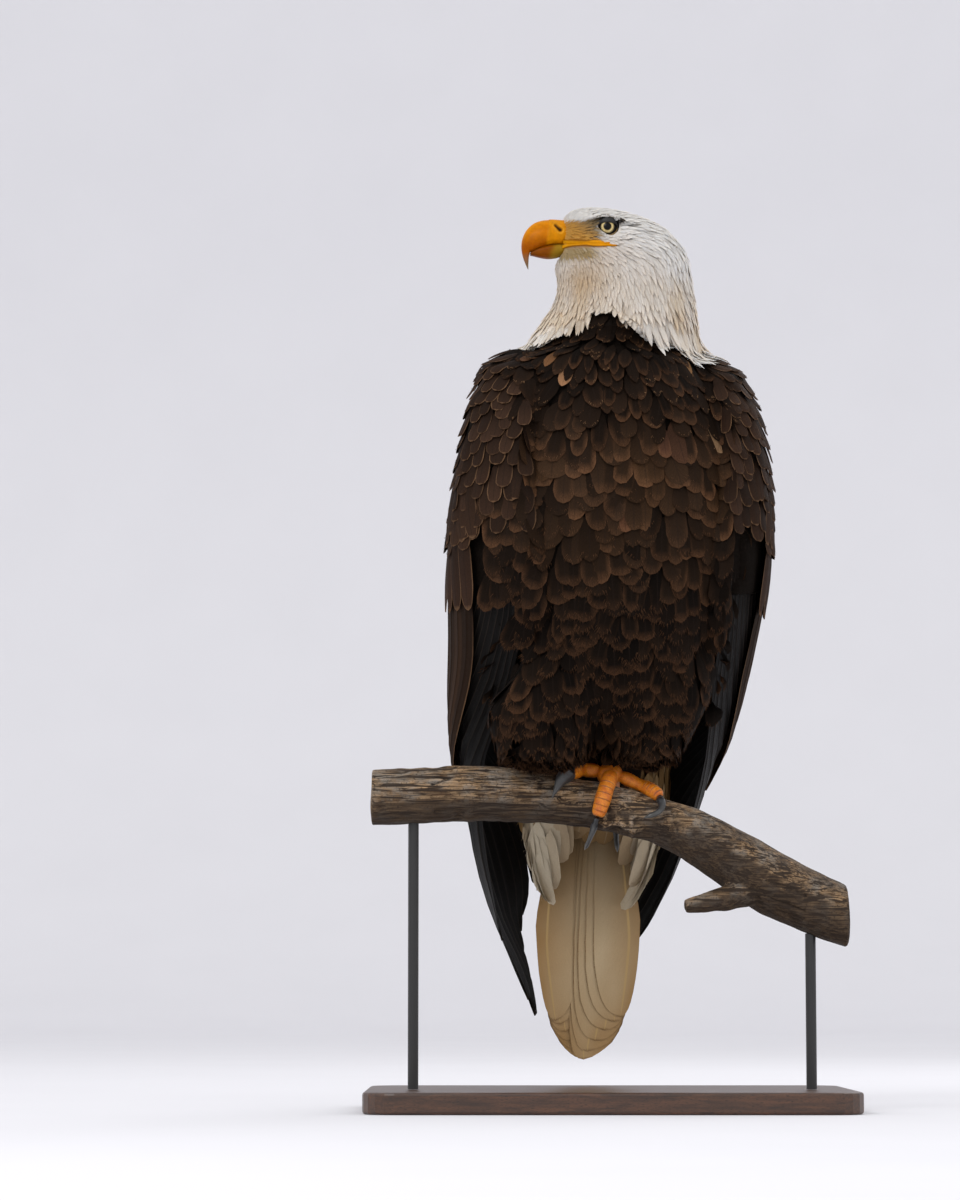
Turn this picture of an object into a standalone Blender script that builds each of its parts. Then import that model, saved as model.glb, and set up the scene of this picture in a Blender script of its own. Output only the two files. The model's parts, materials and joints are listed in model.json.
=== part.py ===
"""A bald eagle standing on one foot on a cut length of branch, life size, on a plain display stand.

Metres, +Z up. The origin is the centre of the stand's underside. The bird faces -Y and looks towards -X.
Each solid is its own object. Neighbours keep a small gap, cut by a slightly grown copy of the neighbour.
"""

import math

import bmesh
import bpy
import numpy as np
from mathutils import Matrix

MM = 0.001
GAP = 0.0004

# Where the bird, its head and its perch stand.
PERCH_HEIGHT = 0.290
PERCH_Y = -0.030
BODY_YAW = math.radians(11)
HEAD_YAW = math.radians(186)
HEAD_RISE = 0.548
HEAD_FORWARD = 0.015

# Head and neck in profile, in the head's own frame: forward, up. The origin is midway between the eyes.
CROWN_AND_NAPE = [
    (41.5, 8.0), (38.0, 13.5), (33.0, 17.6), (25.0, 20.0), (13.0, 20.8), (0.0, 20.3), (-14.0, 17.8),
    (-28.0, 14.5), (-43.0, 9.5), (-57.0, 2.0), (-68.5, -8.5), (-77.0, -20.5), (-81.5, -33.0),
    (-83.5, -47.0), (-86.0, -62.0), (-89.0, -80.0), (-91.5, -98.0), (-91.5, -112.0), (-88.0, -124.0),
]
CHIN_AND_THROAT = [
    (43.5, -27.0), (44.2, -28.2), (44.9, -29.3), (45.6, -30.4), (46.3, -31.4), (46.9, -32.4), (47.5, -33.4),
    (48.0, -34.4), (48.4, -35.4), (48.7, -36.4), (49.0, -37.7), (49.0, -39.5), (48.5, -42.0),
    (47.0, -48.0), (46.0, -57.0), (49.0, -70.0), (58.0, -84.0), (69.0, -101.0), (79.0, -116.0),
]
HEAD_RINGS = 13
HEAD_SIDES = 24
HALF_WIDTH_BY_FORWARD = [
    (-100, 35.0), (-60, 35.5), (-35, 35.0), (-15, 33.5), (0, 31.0), (12, 28.0), (25, 23.5), (35, 18.5),
    (42, 16.0),
]
NECK_WIDENING = [
    (-130, 46.0), (-118, 40.0), (-100, 30.0), (-80, 18.0), (-60, 11.0), (-40, 7.0), (-20, 2.5), (30, 0),
]
NECK_SHIFT = [(-130, -15.0), (-118, -14.4), (-90, -9.0), (-60, -3.0), (-40, 0.0), (30, 0.0)]
HOOD_EDGE_START = 14
HOOD_EDGE_LIFT = 0.018
EYE_RADIUS = 0.0115
EYE_SPREAD = 0.0178
EYE_DROP = 0.002

# The bill, each row: top forward, top up, bottom forward, bottom up, half width.
UPPER_BILL = [
    (42.0, 8.0, 43.4, -16.6, 15.4), (52.0, 8.4, 51.5, -15.6, 13.8), (62.0, 7.6, 60.5, -16.8, 12.2),
    (70.0, 4.2, 66.0, -18.4, 10.6), (76.3, -2.2, 70.0, -20.4, 8.9), (79.8, -9.8, 72.3, -23.0, 7.2),
    (80.9, -17.0, 73.4, -26.0, 5.6), (80.3, -23.8, 73.9, -29.2, 4.1), (78.7, -30.0, 74.1, -32.8, 2.7),
    (76.6, -35.4, 74.2, -36.8, 1.5), (74.7, -39.4, 74.2, -39.9, 0.5),
]
LOWER_BILL = [
    (43.4, -15.5, 44.0, -26.6, 14.6), (48.0, -15.0, 47.5, -28.4, 13.4), (55.0, -15.6, 55.0, -29.8, 11.8),
    (62.0, -17.4, 62.5, -28.8, 9.6), (68.0, -20.0, 68.0, -27.4, 7.0), (72.4, -23.4, 72.0, -26.2, 4.2),
]
GAPE_LINE = [
    (42.4, 14.2, -17.0), (30.0, 20.6, -17.4), (16.0, 26.8, -18.2), (3.0, 30.8, -19.4), (-4.5, 32.8, -20.2),
]

# The trunk, each row: height above the perch's middle, half width, front, back.
TRUNK = [
    (0.046, 0.030, 0.020, 0.100), (0.060, 0.058, -0.020, 0.135), (0.090, 0.080, -0.062, 0.150),
    (0.130, 0.098, -0.088, 0.146), (0.190, 0.116, -0.106, 0.130), (0.250, 0.124, -0.114, 0.119),
    (0.310, 0.124, -0.114, 0.112), (0.360, 0.118, -0.106, 0.107), (0.400, 0.106, -0.094, 0.102),
    (0.425, 0.092, -0.080, 0.092), (0.445, 0.068, -0.058, 0.074), (0.460, 0.040, -0.034, 0.048),
]

# A folded wing, each row: share of its length, front edge x y z, side x y z, back edge x y z, thickness.
WING = [
    (0.00, 0.082, -0.030, 0.432, 0.095, 0.000, 0.437, 0.076, 0.036, 0.440, 0.010),
    (0.05, 0.088, -0.070, 0.402, 0.127, -0.018, 0.412, 0.064, 0.082, 0.426, 0.022),
    (0.15, 0.098, -0.088, 0.350, 0.1425, -0.014, 0.362, 0.044, 0.100, 0.387, 0.026),
    (0.28, 0.097, -0.097, 0.285, 0.1530, -0.006, 0.300, 0.024, 0.112, 0.330, 0.024),
    (0.42, 0.085, -0.095, 0.205, 0.1560, 0.014, 0.225, 0.010, 0.126, 0.262, 0.021),
    (0.56, 0.093, -0.045, 0.125, 0.1470, 0.050, 0.150, 0.004, 0.146, 0.190, 0.017),
    (0.70, 0.108, 0.056, 0.040, 0.1330, 0.103, 0.070, 0.003, 0.168, 0.110, 0.014),
    (0.82, 0.096, 0.100, -0.040, 0.1100, 0.145, -0.010, 0.004, 0.188, 0.030, 0.011),
    (0.90, 0.080, 0.132, -0.095, 0.0895, 0.171, -0.078, 0.012, 0.207, -0.042, 0.009),
    (0.95, 0.061, 0.183, -0.137, 0.0660, 0.196, -0.128, 0.043, 0.217, -0.102, 0.006),
    (1.00, 0.0235, 0.218, -0.206, 0.0245, 0.221, -0.205, 0.022, 0.224, -0.202, 0.004),
]
WING_ROWS = {
    "coverts": (0.0, 0.05, 0.12, 0.20, 0.29, 0.38, 0.4595),
    "secondaries": (0.4605, 0.54, 0.62, 0.71, 0.7995),
    "primaries": (0.8005, 0.86, 0.91, 0.95, 1.0),
}
WING_COLUMNS = 7

# The tail's outline, each row: share of its length, half width, thickness.
TAIL_ROOT = np.array([0.0, 0.104, 0.040])
TAIL_TIP = np.array([0.026, 0.214, -0.244])
TAIL_OUTLINE = [
    (0.0, 0.036, 0.016), (0.2, 0.047, 0.014), (0.45, 0.056, 0.011), (0.65, 0.055, 0.009),
    (0.80, 0.050, 0.007), (0.90, 0.043, 0.006), (0.96, 0.033, 0.005), (1.0, 0.014, 0.004),
]
TAIL_ARCH = 0.009

# The pad under the middle of the foot: its half sizes, and how far its middle is above the branch.
FOOT_PAD = (0.0125, 0.0135, 0.0115)
FOOT_PAD_RISE = 0.009

# The branch, each row: along, height of its middle line, radius.
PERCH = [
    (-0.225, 0.005, 0.0280), (-0.150, 0.008, 0.0275), (-0.100, 0.0065, 0.0268), (-0.050, 0.003, 0.0245),
    (-0.008, -0.003, 0.0225), (0.040, -0.0155, 0.0220), (0.088, -0.036, 0.0285), (0.135, -0.066, 0.0340),
    (0.185, -0.092, 0.0310), (0.225, -0.108, 0.0285),
]
PERCH_KNOTS = [(0.026, 150.0, 0.0065, 0.011), (-0.172, 92.0, 0.0020, 0.007)]

# The stand.
BASE_SIZE = (0.46, 0.30, 0.020)
BASE_CORNER = 0.030
BASE_EDGE = 0.0025
ROD_RADIUS = 0.005
ROD_PLACES = {"stand_rod_right": -0.185, "stand_rod_left": 0.190}

COLOURS = {
    "feather_brown": (0.045, 0.030, 0.022, 0.85),
    "feather_dark": (0.018, 0.014, 0.012, 0.75),
    "feather_white": (0.62, 0.54, 0.44, 0.85),
    "bill_horn": (0.62, 0.26, 0.01, 0.40),
    "eye": (0.42, 0.30, 0.10, 0.08),
    "foot_skin": (0.55, 0.18, 0.01, 0.60),
    "claw_horn": (0.03, 0.03, 0.033, 0.35),
    "perch_wood": (0.25, 0.19, 0.13, 0.85),
    "stand_base": (0.10, 0.055, 0.032, 0.45),
    "stand_rod": (0.02, 0.02, 0.02, 0.40),
}


def clear_scene():
    for old in list(bpy.data.objects):
        bpy.data.objects.remove(old)


def collection(name):
    made = bpy.data.collections.new(name)
    bpy.context.scene.collection.children.link(made)
    return made


def material(name):
    """A Principled material from the row of COLOURS: red, green, blue, roughness."""
    red, green, blue, roughness = COLOURS[name]
    made = bpy.data.materials.new(name)
    made.use_nodes = True
    shader = made.node_tree.nodes["Principled BSDF"]
    shader.inputs["Base Color"].default_value = (red, green, blue, 1)
    shader.inputs["Roughness"].default_value = roughness
    made.diffuse_color = (red, green, blue, 1)
    return made


def frame_empty(name, location, yaw, parent=None):
    empty = bpy.data.objects.new(name, None)
    empty.location = location
    empty.rotation_euler.z = yaw
    empty.parent = parent
    PARTS.objects.link(empty)
    return empty


def smooth(keys, at):
    """The columns of keys read at the stations in at, by a cubic curve through the rows.

    The first number of each row is its station.
    """
    keys = np.array(keys, float)
    stations, values = keys[:, 0], keys[:, 1:]
    at = np.atleast_1d(np.asarray(at, float))
    slopes = np.gradient(values, stations, axis=0)
    left = np.clip(np.searchsorted(stations, at) - 1, 0, len(stations) - 2)
    width = (stations[left + 1] - stations[left])[:, None]
    s = (at - stations[left])[:, None] / width
    s = np.clip(s, 0, 1)
    return (
        (2 * s**3 - 3 * s**2 + 1) * values[left]
        + (s**3 - 2 * s**2 + s) * width * slopes[left]
        + (3 * s**2 - 2 * s**3) * values[left + 1]
        + (s**3 - s**2) * width * slopes[left + 1]
    )


def around(count):
    return np.linspace(0, 2 * math.pi, count, endpoint=False)


def ring_solid(name, rings, parent, slot):
    """One closed mesh through a stack of rings. Each end is closed by a fan round its middle point."""
    rings = np.asarray(rings, float)
    count, size = rings.shape[:2]
    points = np.concatenate([rings.reshape(-1, 3), [rings[0].mean(axis=0)], [rings[-1].mean(axis=0)]])
    first, last = len(points) - 2, len(points) - 1
    faces = []
    for ring in range(count - 1):
        for i in range(size):
            a, b = ring * size + i, ring * size + (i + 1) % size
            faces.append((a, b, b + size, a + size))
    for i in range(size):
        j = (i + 1) % size
        faces.append((j, i, first))
        faces.append(((count - 1) * size + i, (count - 1) * size + j, last))
    mesh = bpy.data.meshes.new(name)
    mesh.from_pydata(points.tolist(), [], faces)
    return finish_mesh(name, mesh, parent, slot)


def plate_solid(name, outer, inner, parent, slot):
    """One closed plate between two faces on the same grid, with a strip all the way round its edge."""
    rows, columns = outer.shape[:2]
    points = np.concatenate([outer.reshape(-1, 3), inner.reshape(-1, 3)])
    at = np.arange(rows * columns).reshape(rows, columns)
    back = at + rows * columns
    quads = np.stack([at[:-1, :-1], at[:-1, 1:], at[1:, 1:], at[1:, :-1]], axis=-1).reshape(-1, 4)
    edge = np.concatenate([at[0, :], at[1:, -1], at[-1, -2::-1], at[-2:0:-1, 0]])
    following = np.roll(edge, -1)
    rim = np.stack([edge, following, following + rows * columns, edge + rows * columns], axis=-1)
    faces = np.concatenate([quads, quads[:, ::-1] + back[0, 0], rim])
    mesh = bpy.data.meshes.new(name)
    mesh.from_pydata(points.tolist(), [], faces.tolist())
    return finish_mesh(name, mesh, parent, slot)


def finish_mesh(name, mesh, parent, slot):
    """Faces turned outwards, shaded smooth, one material, in the collection of parts."""
    work = bmesh.new()
    work.from_mesh(mesh)
    bmesh.ops.recalc_face_normals(work, faces=work.faces)
    bmesh.ops.triangulate(work, faces=work.faces, quad_method="SHORT_EDGE")
    work.to_mesh(mesh)
    work.free()
    mesh.shade_smooth()
    mesh.set_sharp_from_angle(angle=math.radians(50))
    mesh.materials.append(MATERIALS[slot])
    made = bpy.data.objects.new(name, mesh)
    made.parent = parent
    PARTS.objects.link(made)
    return made


def adopt(name, parent, slot):
    """The primitive just added, named, given its material and moved to the collection of parts."""
    made = bpy.context.object
    made.name = name
    made.parent = parent
    made.data.materials.append(MATERIALS[slot])
    for home in list(made.users_collection):
        home.objects.unlink(made)
    PARTS.objects.link(made)
    return made


def hide(cutter):
    """Keeps a cutter out of the picture and out of the parts."""
    if PARTS.objects.get(cutter.name):
        PARTS.objects.unlink(cutter)
        CUTTERS.objects.link(cutter)
    cutter.hide_render = True
    cutter.display_type = "WIRE"


def grown_copy(obj, grow=GAP):
    """A hidden cutter: the object's own shape, grown on every side."""
    cutter = bpy.data.objects.new(obj.name + "_cutter", obj.data)
    cutter.parent = obj.parent
    cutter.location = obj.location
    cutter.rotation_euler = obj.rotation_euler
    CUTTERS.objects.link(cutter)
    hide(cutter)
    push = cutter.modifiers.new("grow", "DISPLACE")
    push.strength = grow
    push.mid_level = 0
    return cutter


def cut(target, *others):
    """Takes the other objects, each grown by the gap, out of the target."""
    for other in others:
        cutter = CUTTERS.objects.get(other.name + "_cutter") or grown_copy(other)
        boolean = target.modifiers.new("cut_" + other.name, "BOOLEAN")
        boolean.operation = "DIFFERENCE"
        boolean.solver = "EXACT"
        boolean.object = cutter


def sweep(name, path, radii, parent, slot, size=12, flatten=1.0, up=(0, 0, 1)):
    """A tube along a path, with a radius at each point. flatten scales it along up, square to the path."""
    path, radii = np.asarray(path, float), np.asarray(radii, float)
    along = np.gradient(path, axis=0)
    along /= np.linalg.norm(along, axis=1)[:, None]
    side = np.cross(along, np.asarray(up, float))
    side /= np.linalg.norm(side, axis=1)[:, None]
    lift = np.cross(side, along)
    turn = around(size)
    rings = (
        path[:, None]
        + side[:, None] * (radii[:, None] * np.cos(turn))[:, :, None]
        + lift[:, None] * (radii[:, None] * np.sin(turn) * flatten)[:, :, None]
    )
    return ring_solid(name, rings, parent, slot)


# ---------------------------------------------------------------- head and neck


def half_width(forward, height):
    """How far the feathered head reaches sideways, over each point of its profile."""
    base = smooth(HALF_WIDTH_BY_FORWARD, forward)[:, 0] + smooth(NECK_WIDENING, height)[:, 0]
    brow_line = 8.5 - 0.10 * (10 - forward)
    brow = 3.2 * np.exp(-(((height - brow_line) / 3.4) ** 2) - ((forward - 6) / 19) ** 4)
    socket = -5.5 * np.exp(-(((forward - 1) / 12) ** 2) - ((height + 1.0) / 8.5) ** 2)
    lore = -3.5 * np.exp(-(((forward - 24) / 11) ** 2) - ((height + 4) / 8) ** 2)
    return base + brow + socket + lore


def hood_rings():
    """Rings from the face round to the shoulders, one for each pair of profile points.

    Each ring runs from the crown or nape to the chin or throat and back.
    """
    at = np.arange(len(CROWN_AND_NAPE))
    top, bottom = np.array(CROWN_AND_NAPE), np.array(CHIN_AND_THROAT)
    turn = around(HEAD_SIDES)
    middle, half = (top + bottom) / 2, (top - bottom) / 2
    profile = middle[:, None] + half[:, None] * np.cos(turn)[None, :, None]
    forward, height = profile[..., 0], profile[..., 1]
    width = half_width(forward.ravel(), height.ravel()).reshape(forward.shape)
    shift = smooth(NECK_SHIFT, height.ravel()).reshape(forward.shape)
    squareness = np.where(at < HEAD_RINGS, 0.80, 0.92)[:, None]
    sideways = np.sign(np.sin(turn)) * np.abs(np.sin(turn)) ** squareness
    drop = np.clip((at - HOOD_EDGE_START) / (len(at) - 1 - HOOD_EDGE_START), 0, 1)[:, None] ** 2
    lift = drop * (np.sin(turn)[None] * HOOD_EDGE_LIFT / MM)
    return np.stack([forward, shift + width * sideways, height + lift], axis=-1) * MM


def make_head_and_neck(head_frame):
    rings = hood_rings()
    head = ring_solid("head", rings[:HEAD_RINGS], head_frame, "feather_white")
    neck_rings = rings[HEAD_RINGS - 1:].copy()
    step = neck_rings[1] - neck_rings[0]
    neck_rings[0] += step / np.linalg.norm(step, axis=1)[:, None] * GAP * 1.5
    neck = ring_solid("neck", neck_rings, head_frame, "feather_white")
    return head, neck


def bill_rings(rows, size, count, fullness, power):
    """Upright rings from the face to the tip.

    fullness moves the widest place down, and power squares the section.
    """
    keys = np.arange(len(rows))
    rows = smooth(np.column_stack([keys, rows]), np.linspace(0, len(rows) - 1, count))
    top, bottom, width = rows[:, :2], rows[:, 2:4], rows[:, 4]
    turn = around(size)
    rise = np.sign(np.cos(turn)) * np.abs(np.cos(turn)) ** power
    profile = (top + bottom)[:, None] / 2 + (top - bottom)[:, None] / 2 * rise[None, :, None]
    across = np.sign(np.sin(turn)) * np.abs(np.sin(turn)) ** power * (1 - fullness * np.cos(turn))
    sideways = width[:, None] * across[None]
    return np.stack([profile[..., 0], sideways, profile[..., 1]], axis=-1) * MM


def make_bill(head_frame):
    upper = ring_solid("bill_upper", bill_rings(UPPER_BILL, 16, 12, 0.22, 0.85), head_frame, "bill_horn")
    lower = ring_solid("bill_lower", bill_rings(LOWER_BILL, 12, 7, -0.10, 0.85), head_frame, "bill_horn")
    return upper, lower


def make_gapes(head_frame):
    """The yellow corner of the mouth on each side, a slim ridge that lies along the cheek."""
    line = np.array(GAPE_LINE) * MM
    at = np.linspace(0, 1, 7)
    path = smooth(np.column_stack([np.linspace(0, 1, len(line)), line]), at)
    radii = np.interp(at, [0, 0.5, 0.85, 1], [2.6, 2.2, 1.6, 0.7]) * MM
    return [
        sweep(f"gape_{side}", path * (1, sign, 1), radii, head_frame, "bill_horn", size=6, flatten=1.2)
        for side, sign in (("left", 1), ("right", -1))
    ]


def make_eyes(head_frame):
    eyes = []
    for side, sign in (("left", 1), ("right", -1)):
        bpy.ops.mesh.primitive_uv_sphere_add(segments=14, ring_count=7, radius=EYE_RADIUS)
        eye = adopt(f"eye_{side}", head_frame, "eye")
        eye.location = (0, sign * EYE_SPREAD, -EYE_DROP)
        eye.rotation_euler.x = math.radians(90)
        eye.data.shade_smooth()
        eyes.append(eye)
    return eyes


# ---------------------------------------------------------------- trunk and wings


def make_trunk(bird):
    heights = np.linspace(TRUNK[0][0], TRUNK[-1][0], 11)
    rows = smooth(TRUNK, heights)
    turn = around(20)
    width, front, back = (rows[:, i, None] for i in range(3))
    x = width * np.sign(np.sin(turn)) * np.abs(np.sin(turn)) ** 0.88
    y = (front + back) / 2 - (back - front) / 2 * np.sign(np.cos(turn)) * np.abs(np.cos(turn)) ** 0.88
    z = np.broadcast_to(heights[:, None], x.shape)
    return ring_solid("trunk", np.stack([x, y, z], axis=-1), bird, "feather_brown")


def wing_faces():
    """The outer and inner faces of the left wing on one grid, and the direction out of it.

    Rows run down the wing, columns from its front edge to its back edge.
    """
    stations = np.concatenate(list(WING_ROWS.values()))
    keys = smooth(WING, stations)
    front, side, back, thick = keys[:, None, 0:3], keys[:, None, 3:6], keys[:, None, 6:9], keys[:, None, 9:]
    u = np.linspace(0, 1, WING_COLUMNS)[None, :, None]
    control = 2 * side - (front + back) / 2
    outer = (1 - u) ** 2 * front + 2 * u * (1 - u) * control + u**2 * back
    out = np.cross(np.gradient(outer, stations, axis=0), np.gradient(outer, axis=1))
    out /= np.linalg.norm(out, axis=2)[:, :, None]
    inner = outer - out * thick * (0.42 + 0.58 * np.sin(math.pi * u) ** 0.7)
    return outer, inner, out


def wider(grid, by=0.0015):
    """The same grid with its four edges moved out a little, square to each edge."""
    grid = grid.copy()
    for lines in (grid, grid.swapaxes(0, 1)):
        for edge, inside in ((0, 1), (-1, -2)):
            step = lines[edge] - lines[inside]
            lines[edge] += by * step / np.linalg.norm(step, axis=1)[:, None]
    return grid


def make_wings(bird):
    """Each wing in three pieces along its length, and two cutters: the whole wing, and the space past it."""
    outer, inner, out = wing_faces()
    wings, hollows = [], []
    for side, mirror in (("left", (1, 1, 1)), ("right", (-1, 1, 1))):
        row = 0
        for piece, stations in WING_ROWS.items():
            rows = slice(row, row + len(stations))
            row += len(stations)
            slot = "feather_dark" if piece == "primaries" else "feather_brown"
            name = f"wing_{side}_{piece}"
            wings.append(plate_solid(name, outer[rows] * mirror, inner[rows] * mirror, bird, slot))
        whole = plate_solid(f"wing_{side}_whole", outer * mirror, inner * mirror, bird, "feather_dark")
        past, middle = wider(outer + out * 0.03) * mirror, wider((outer + inner) / 2) * mirror
        beyond = plate_solid(f"wing_{side}_beyond", past, middle, bird, "feather_dark")
        hide(whole)
        hide(beyond)
        hollows.append((whole, beyond))
    return wings, hollows


# ---------------------------------------------------------------- tail and legs


def make_tail(bird):
    at = np.linspace(0, 1, 10)
    rows = smooth(TAIL_OUTLINE, at)
    half, thick = rows[:, 0, None], rows[:, 1, None]
    along = TAIL_TIP - TAIL_ROOT
    along /= np.linalg.norm(along)
    back = np.cross([1, 0, 0], along)
    turn = around(16)
    across = half * np.cos(turn)
    arch = TAIL_ARCH * np.cos(turn) ** 2 * (half / half.max())
    depth = thick / 2 * np.sign(np.sin(turn)) * np.abs(np.sin(turn)) ** 0.8 + arch
    middle = TAIL_ROOT + (TAIL_TIP - TAIL_ROOT) * at[:, None]
    rings = middle[:, None] + across[..., None] * np.array([1, 0, 0]) - depth[..., None] * back
    return ring_solid("tail", rings, bird, "feather_white")


def make_tail_coverts(bird):
    """The soft white mass under the root of the tail, behind the perch."""
    at = np.linspace(0, 1, 9)
    path = np.array([0.008, 0.080, 0.062]) + at[:, None] * np.array([0.002, 0.052, -0.182])
    radii = np.interp(at, [0, 0.25, 0.55, 0.8, 0.95, 1], [0.074, 0.075, 0.068, 0.050, 0.028, 0.014])
    return sweep("tail_coverts", path, radii, bird, "feather_white", size=14, flatten=0.42, up=(0, 1, 0))


def make_legs(bird):
    """The feathered leg that stands, its bare shank, and the drawn-up leg, a full bulge over the perch."""
    at = np.linspace(0, 1, 8)
    standing = smooth([(0, 0.050, 0.020, 0.190), (0.5, 0.044, -0.016, 0.115), (1, 0.018, -0.002, 0.047)], at)
    stand_radii = smooth([(0, 0.046), (0.4, 0.056), (0.75, 0.046), (1, 0.028)], at)[:, 0]
    drawn = smooth([(0, -0.050, 0.010, 0.200), (0.5, -0.062, -0.022, 0.110), (1, -0.069, -0.028, 0.036)], at)
    drawn_radii = smooth([(0, 0.040), (0.45, 0.052), (0.8, 0.046), (1, 0.030)], at)[:, 0]
    shank = [(0.0015, 0.001, 0.031), (0.006, 0.001, 0.047), (0.012, 0.001, 0.066)]
    return (
        sweep("thigh_left", standing, stand_radii, bird, "feather_brown", size=14, up=(0, 1, 0)),
        sweep("thigh_right", drawn, drawn_radii, bird, "feather_brown", size=14, up=(0, 1, 0)),
        sweep("shank_left", shank, (0.0098, 0.0095, 0.0105), bird, "foot_skin", size=12, up=(0, 1, 0)),
    )


def on_perch(along, angle, above):
    """Points this far above the branch, at an angle in degrees from its top towards the front."""
    middle, radius = smooth(PERCH, along).T
    turn = np.radians(angle)
    reach = radius + above
    return np.column_stack([along, -reach * np.sin(turn), middle + reach * np.cos(turn)])


# Each toe, rows of: along the perch, angle round it, height above it, radius in millimetres. Each claw: three
# points of its curve from the perch's middle under the foot, and its base radius, in millimetres.
TOES = {
    "toe_inner": [(-0.003, 0, 0.0105, 8.0), (-0.018, -4, 0.0090, 6.6), (-0.028, 4, 0.0075, 6.2),
                  (-0.035, 28, 0.0062, 6.4), (-0.039, 50, 0.0056, 5.2)],
    "toe_middle": [(0.002, 4, 0.0105, 8.2), (0.000, 32, 0.0080, 7.9), (-0.004, 62, 0.0068, 7.2),
                   (-0.0085, 94, 0.0056, 6.2), (-0.0130, 124, 0.0050, 5.0)],
    "toe_outer": [(0.006, 2, 0.0105, 7.8), (0.020, 3, 0.0085, 6.2), (0.033, 10, 0.0068, 6.0),
                  (0.042, 26, 0.0066, 6.8), (0.047, 44, 0.0056, 5.8)],
    "toe_hind": [(0.001, -8, 0.0105, 8.4), (0.003, -38, 0.0085, 8.0), (0.005, -70, 0.0072, 7.4),
                 (0.006, -98, 0.0060, 6.0)],
}
CLAWS = {
    "claw_inner": ([(-33.5, -17.0, 32.0), (-45.0, -33.0, 30.0), (-53.5, -30.0, 2.0)], 4.2),
    "claw_middle": ([(-13.5, -20.5, -20.0), (-17.5, -28.0, -34.0), (-23.5, -10.0, -45.5)], 3.8),
    "claw_outer": ([(47.0, -22.0, 3.0), (55.5, -37.0, -13.0), (29.0, -33.0, -15.5)], 3.8),
    "claw_hind": ([(6.5, 27.0, -9.0), (8.0, 44.0, -24.0), (9.0, 24.0, -47.0)], 4.6),
}


def make_foot(perch_frame):
    """The standing foot: its pad, three toes forward and one back round the branch, and their claws."""
    bpy.ops.mesh.primitive_uv_sphere_add(segments=12, ring_count=8, radius=1)
    pad = adopt("foot_left", perch_frame, "foot_skin")
    pad.data.transform(Matrix.Diagonal((*FOOT_PAD, 1)))
    pad.location = (0.001, 0.001, smooth(PERCH, 0.0).sum() + FOOT_PAD_RISE)
    pad.data.shade_smooth()
    toes, claws = [], []
    for name, rows in TOES.items():
        at = np.linspace(0, 1, 8)
        keys = smooth(np.column_stack([np.linspace(0, 1, len(rows)), rows]), at)
        radii = keys[:, 3] * MM * np.interp(at, [0, 0.93, 1], [1, 1, 0.72])
        path = on_perch(keys[:, 0], keys[:, 1], keys[:, 2])
        up = (1, 0.01, 0.02) if name in ("toe_middle", "toe_hind") else (0, 1, 0.3)
        toes.append(sweep(name, path, radii, perch_frame, "foot_skin", size=10, up=up))
    for name, (points, base) in CLAWS.items():
        a, b, c = (np.array(p) * MM for p in points)
        at = np.linspace(0, 1, 7)[:, None]
        path = (1 - at) ** 2 * a + 2 * at * (1 - at) * b + at**2 * c
        radii = base * MM * (1 - at[:, 0]) ** 0.75 + 0.3 * MM
        up = (0.3, 0.2, 1) if name in ("claw_inner", "claw_outer") else (1, 0.1, 0)
        claws.append(sweep(name, path, radii, perch_frame, "claw_horn", size=8, up=up))
    return pad, toes, claws


# ---------------------------------------------------------------- perch and stand


def make_perch(perch_frame):
    """A length of bare branch with cut ends, a broken stub and two knots."""
    at = np.linspace(PERCH[0][0], PERCH[-1][0], 23)
    middle, radius = smooth(PERCH, at).T
    turn = around(14)
    angle = turn[None, :]
    swell = 1 + 0.035 * np.sin(2 * angle + 9 * at[:, None]) + 0.02 * np.sin(3 * angle - 21 * at[:, None])
    reach = radius[:, None] * swell
    for along, where, height, spread in PERCH_KNOTS:
        turned = (np.degrees(angle) - where + 180) % 360 - 180
        near = ((at[:, None] - along) / spread) ** 2 + (np.radians(turned) * radius[:, None] / spread) ** 2
        reach = reach + height * np.exp(-near)
    x = np.broadcast_to(at[:, None], reach.shape)
    rings = np.stack([x, -reach * np.sin(angle), middle[:, None] + reach * np.cos(angle)], axis=-1)
    perch = ring_solid("perch", rings, perch_frame, "perch_wood")
    path = [(0.150, -0.006, -0.082), (0.120, -0.016, -0.088), (0.095, -0.024, -0.094), (0.07, -0.028, -0.099)]
    radii = (0.0150, 0.0135, 0.0105, 0.0070)
    stub = sweep("perch_stub", path, radii, perch_frame, "perch_wood", size=10)
    hide(stub)
    joined = perch.modifiers.new("stub", "BOOLEAN")
    joined.operation = "UNION"
    joined.solver = "EXACT"
    joined.object = stub
    return perch


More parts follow.
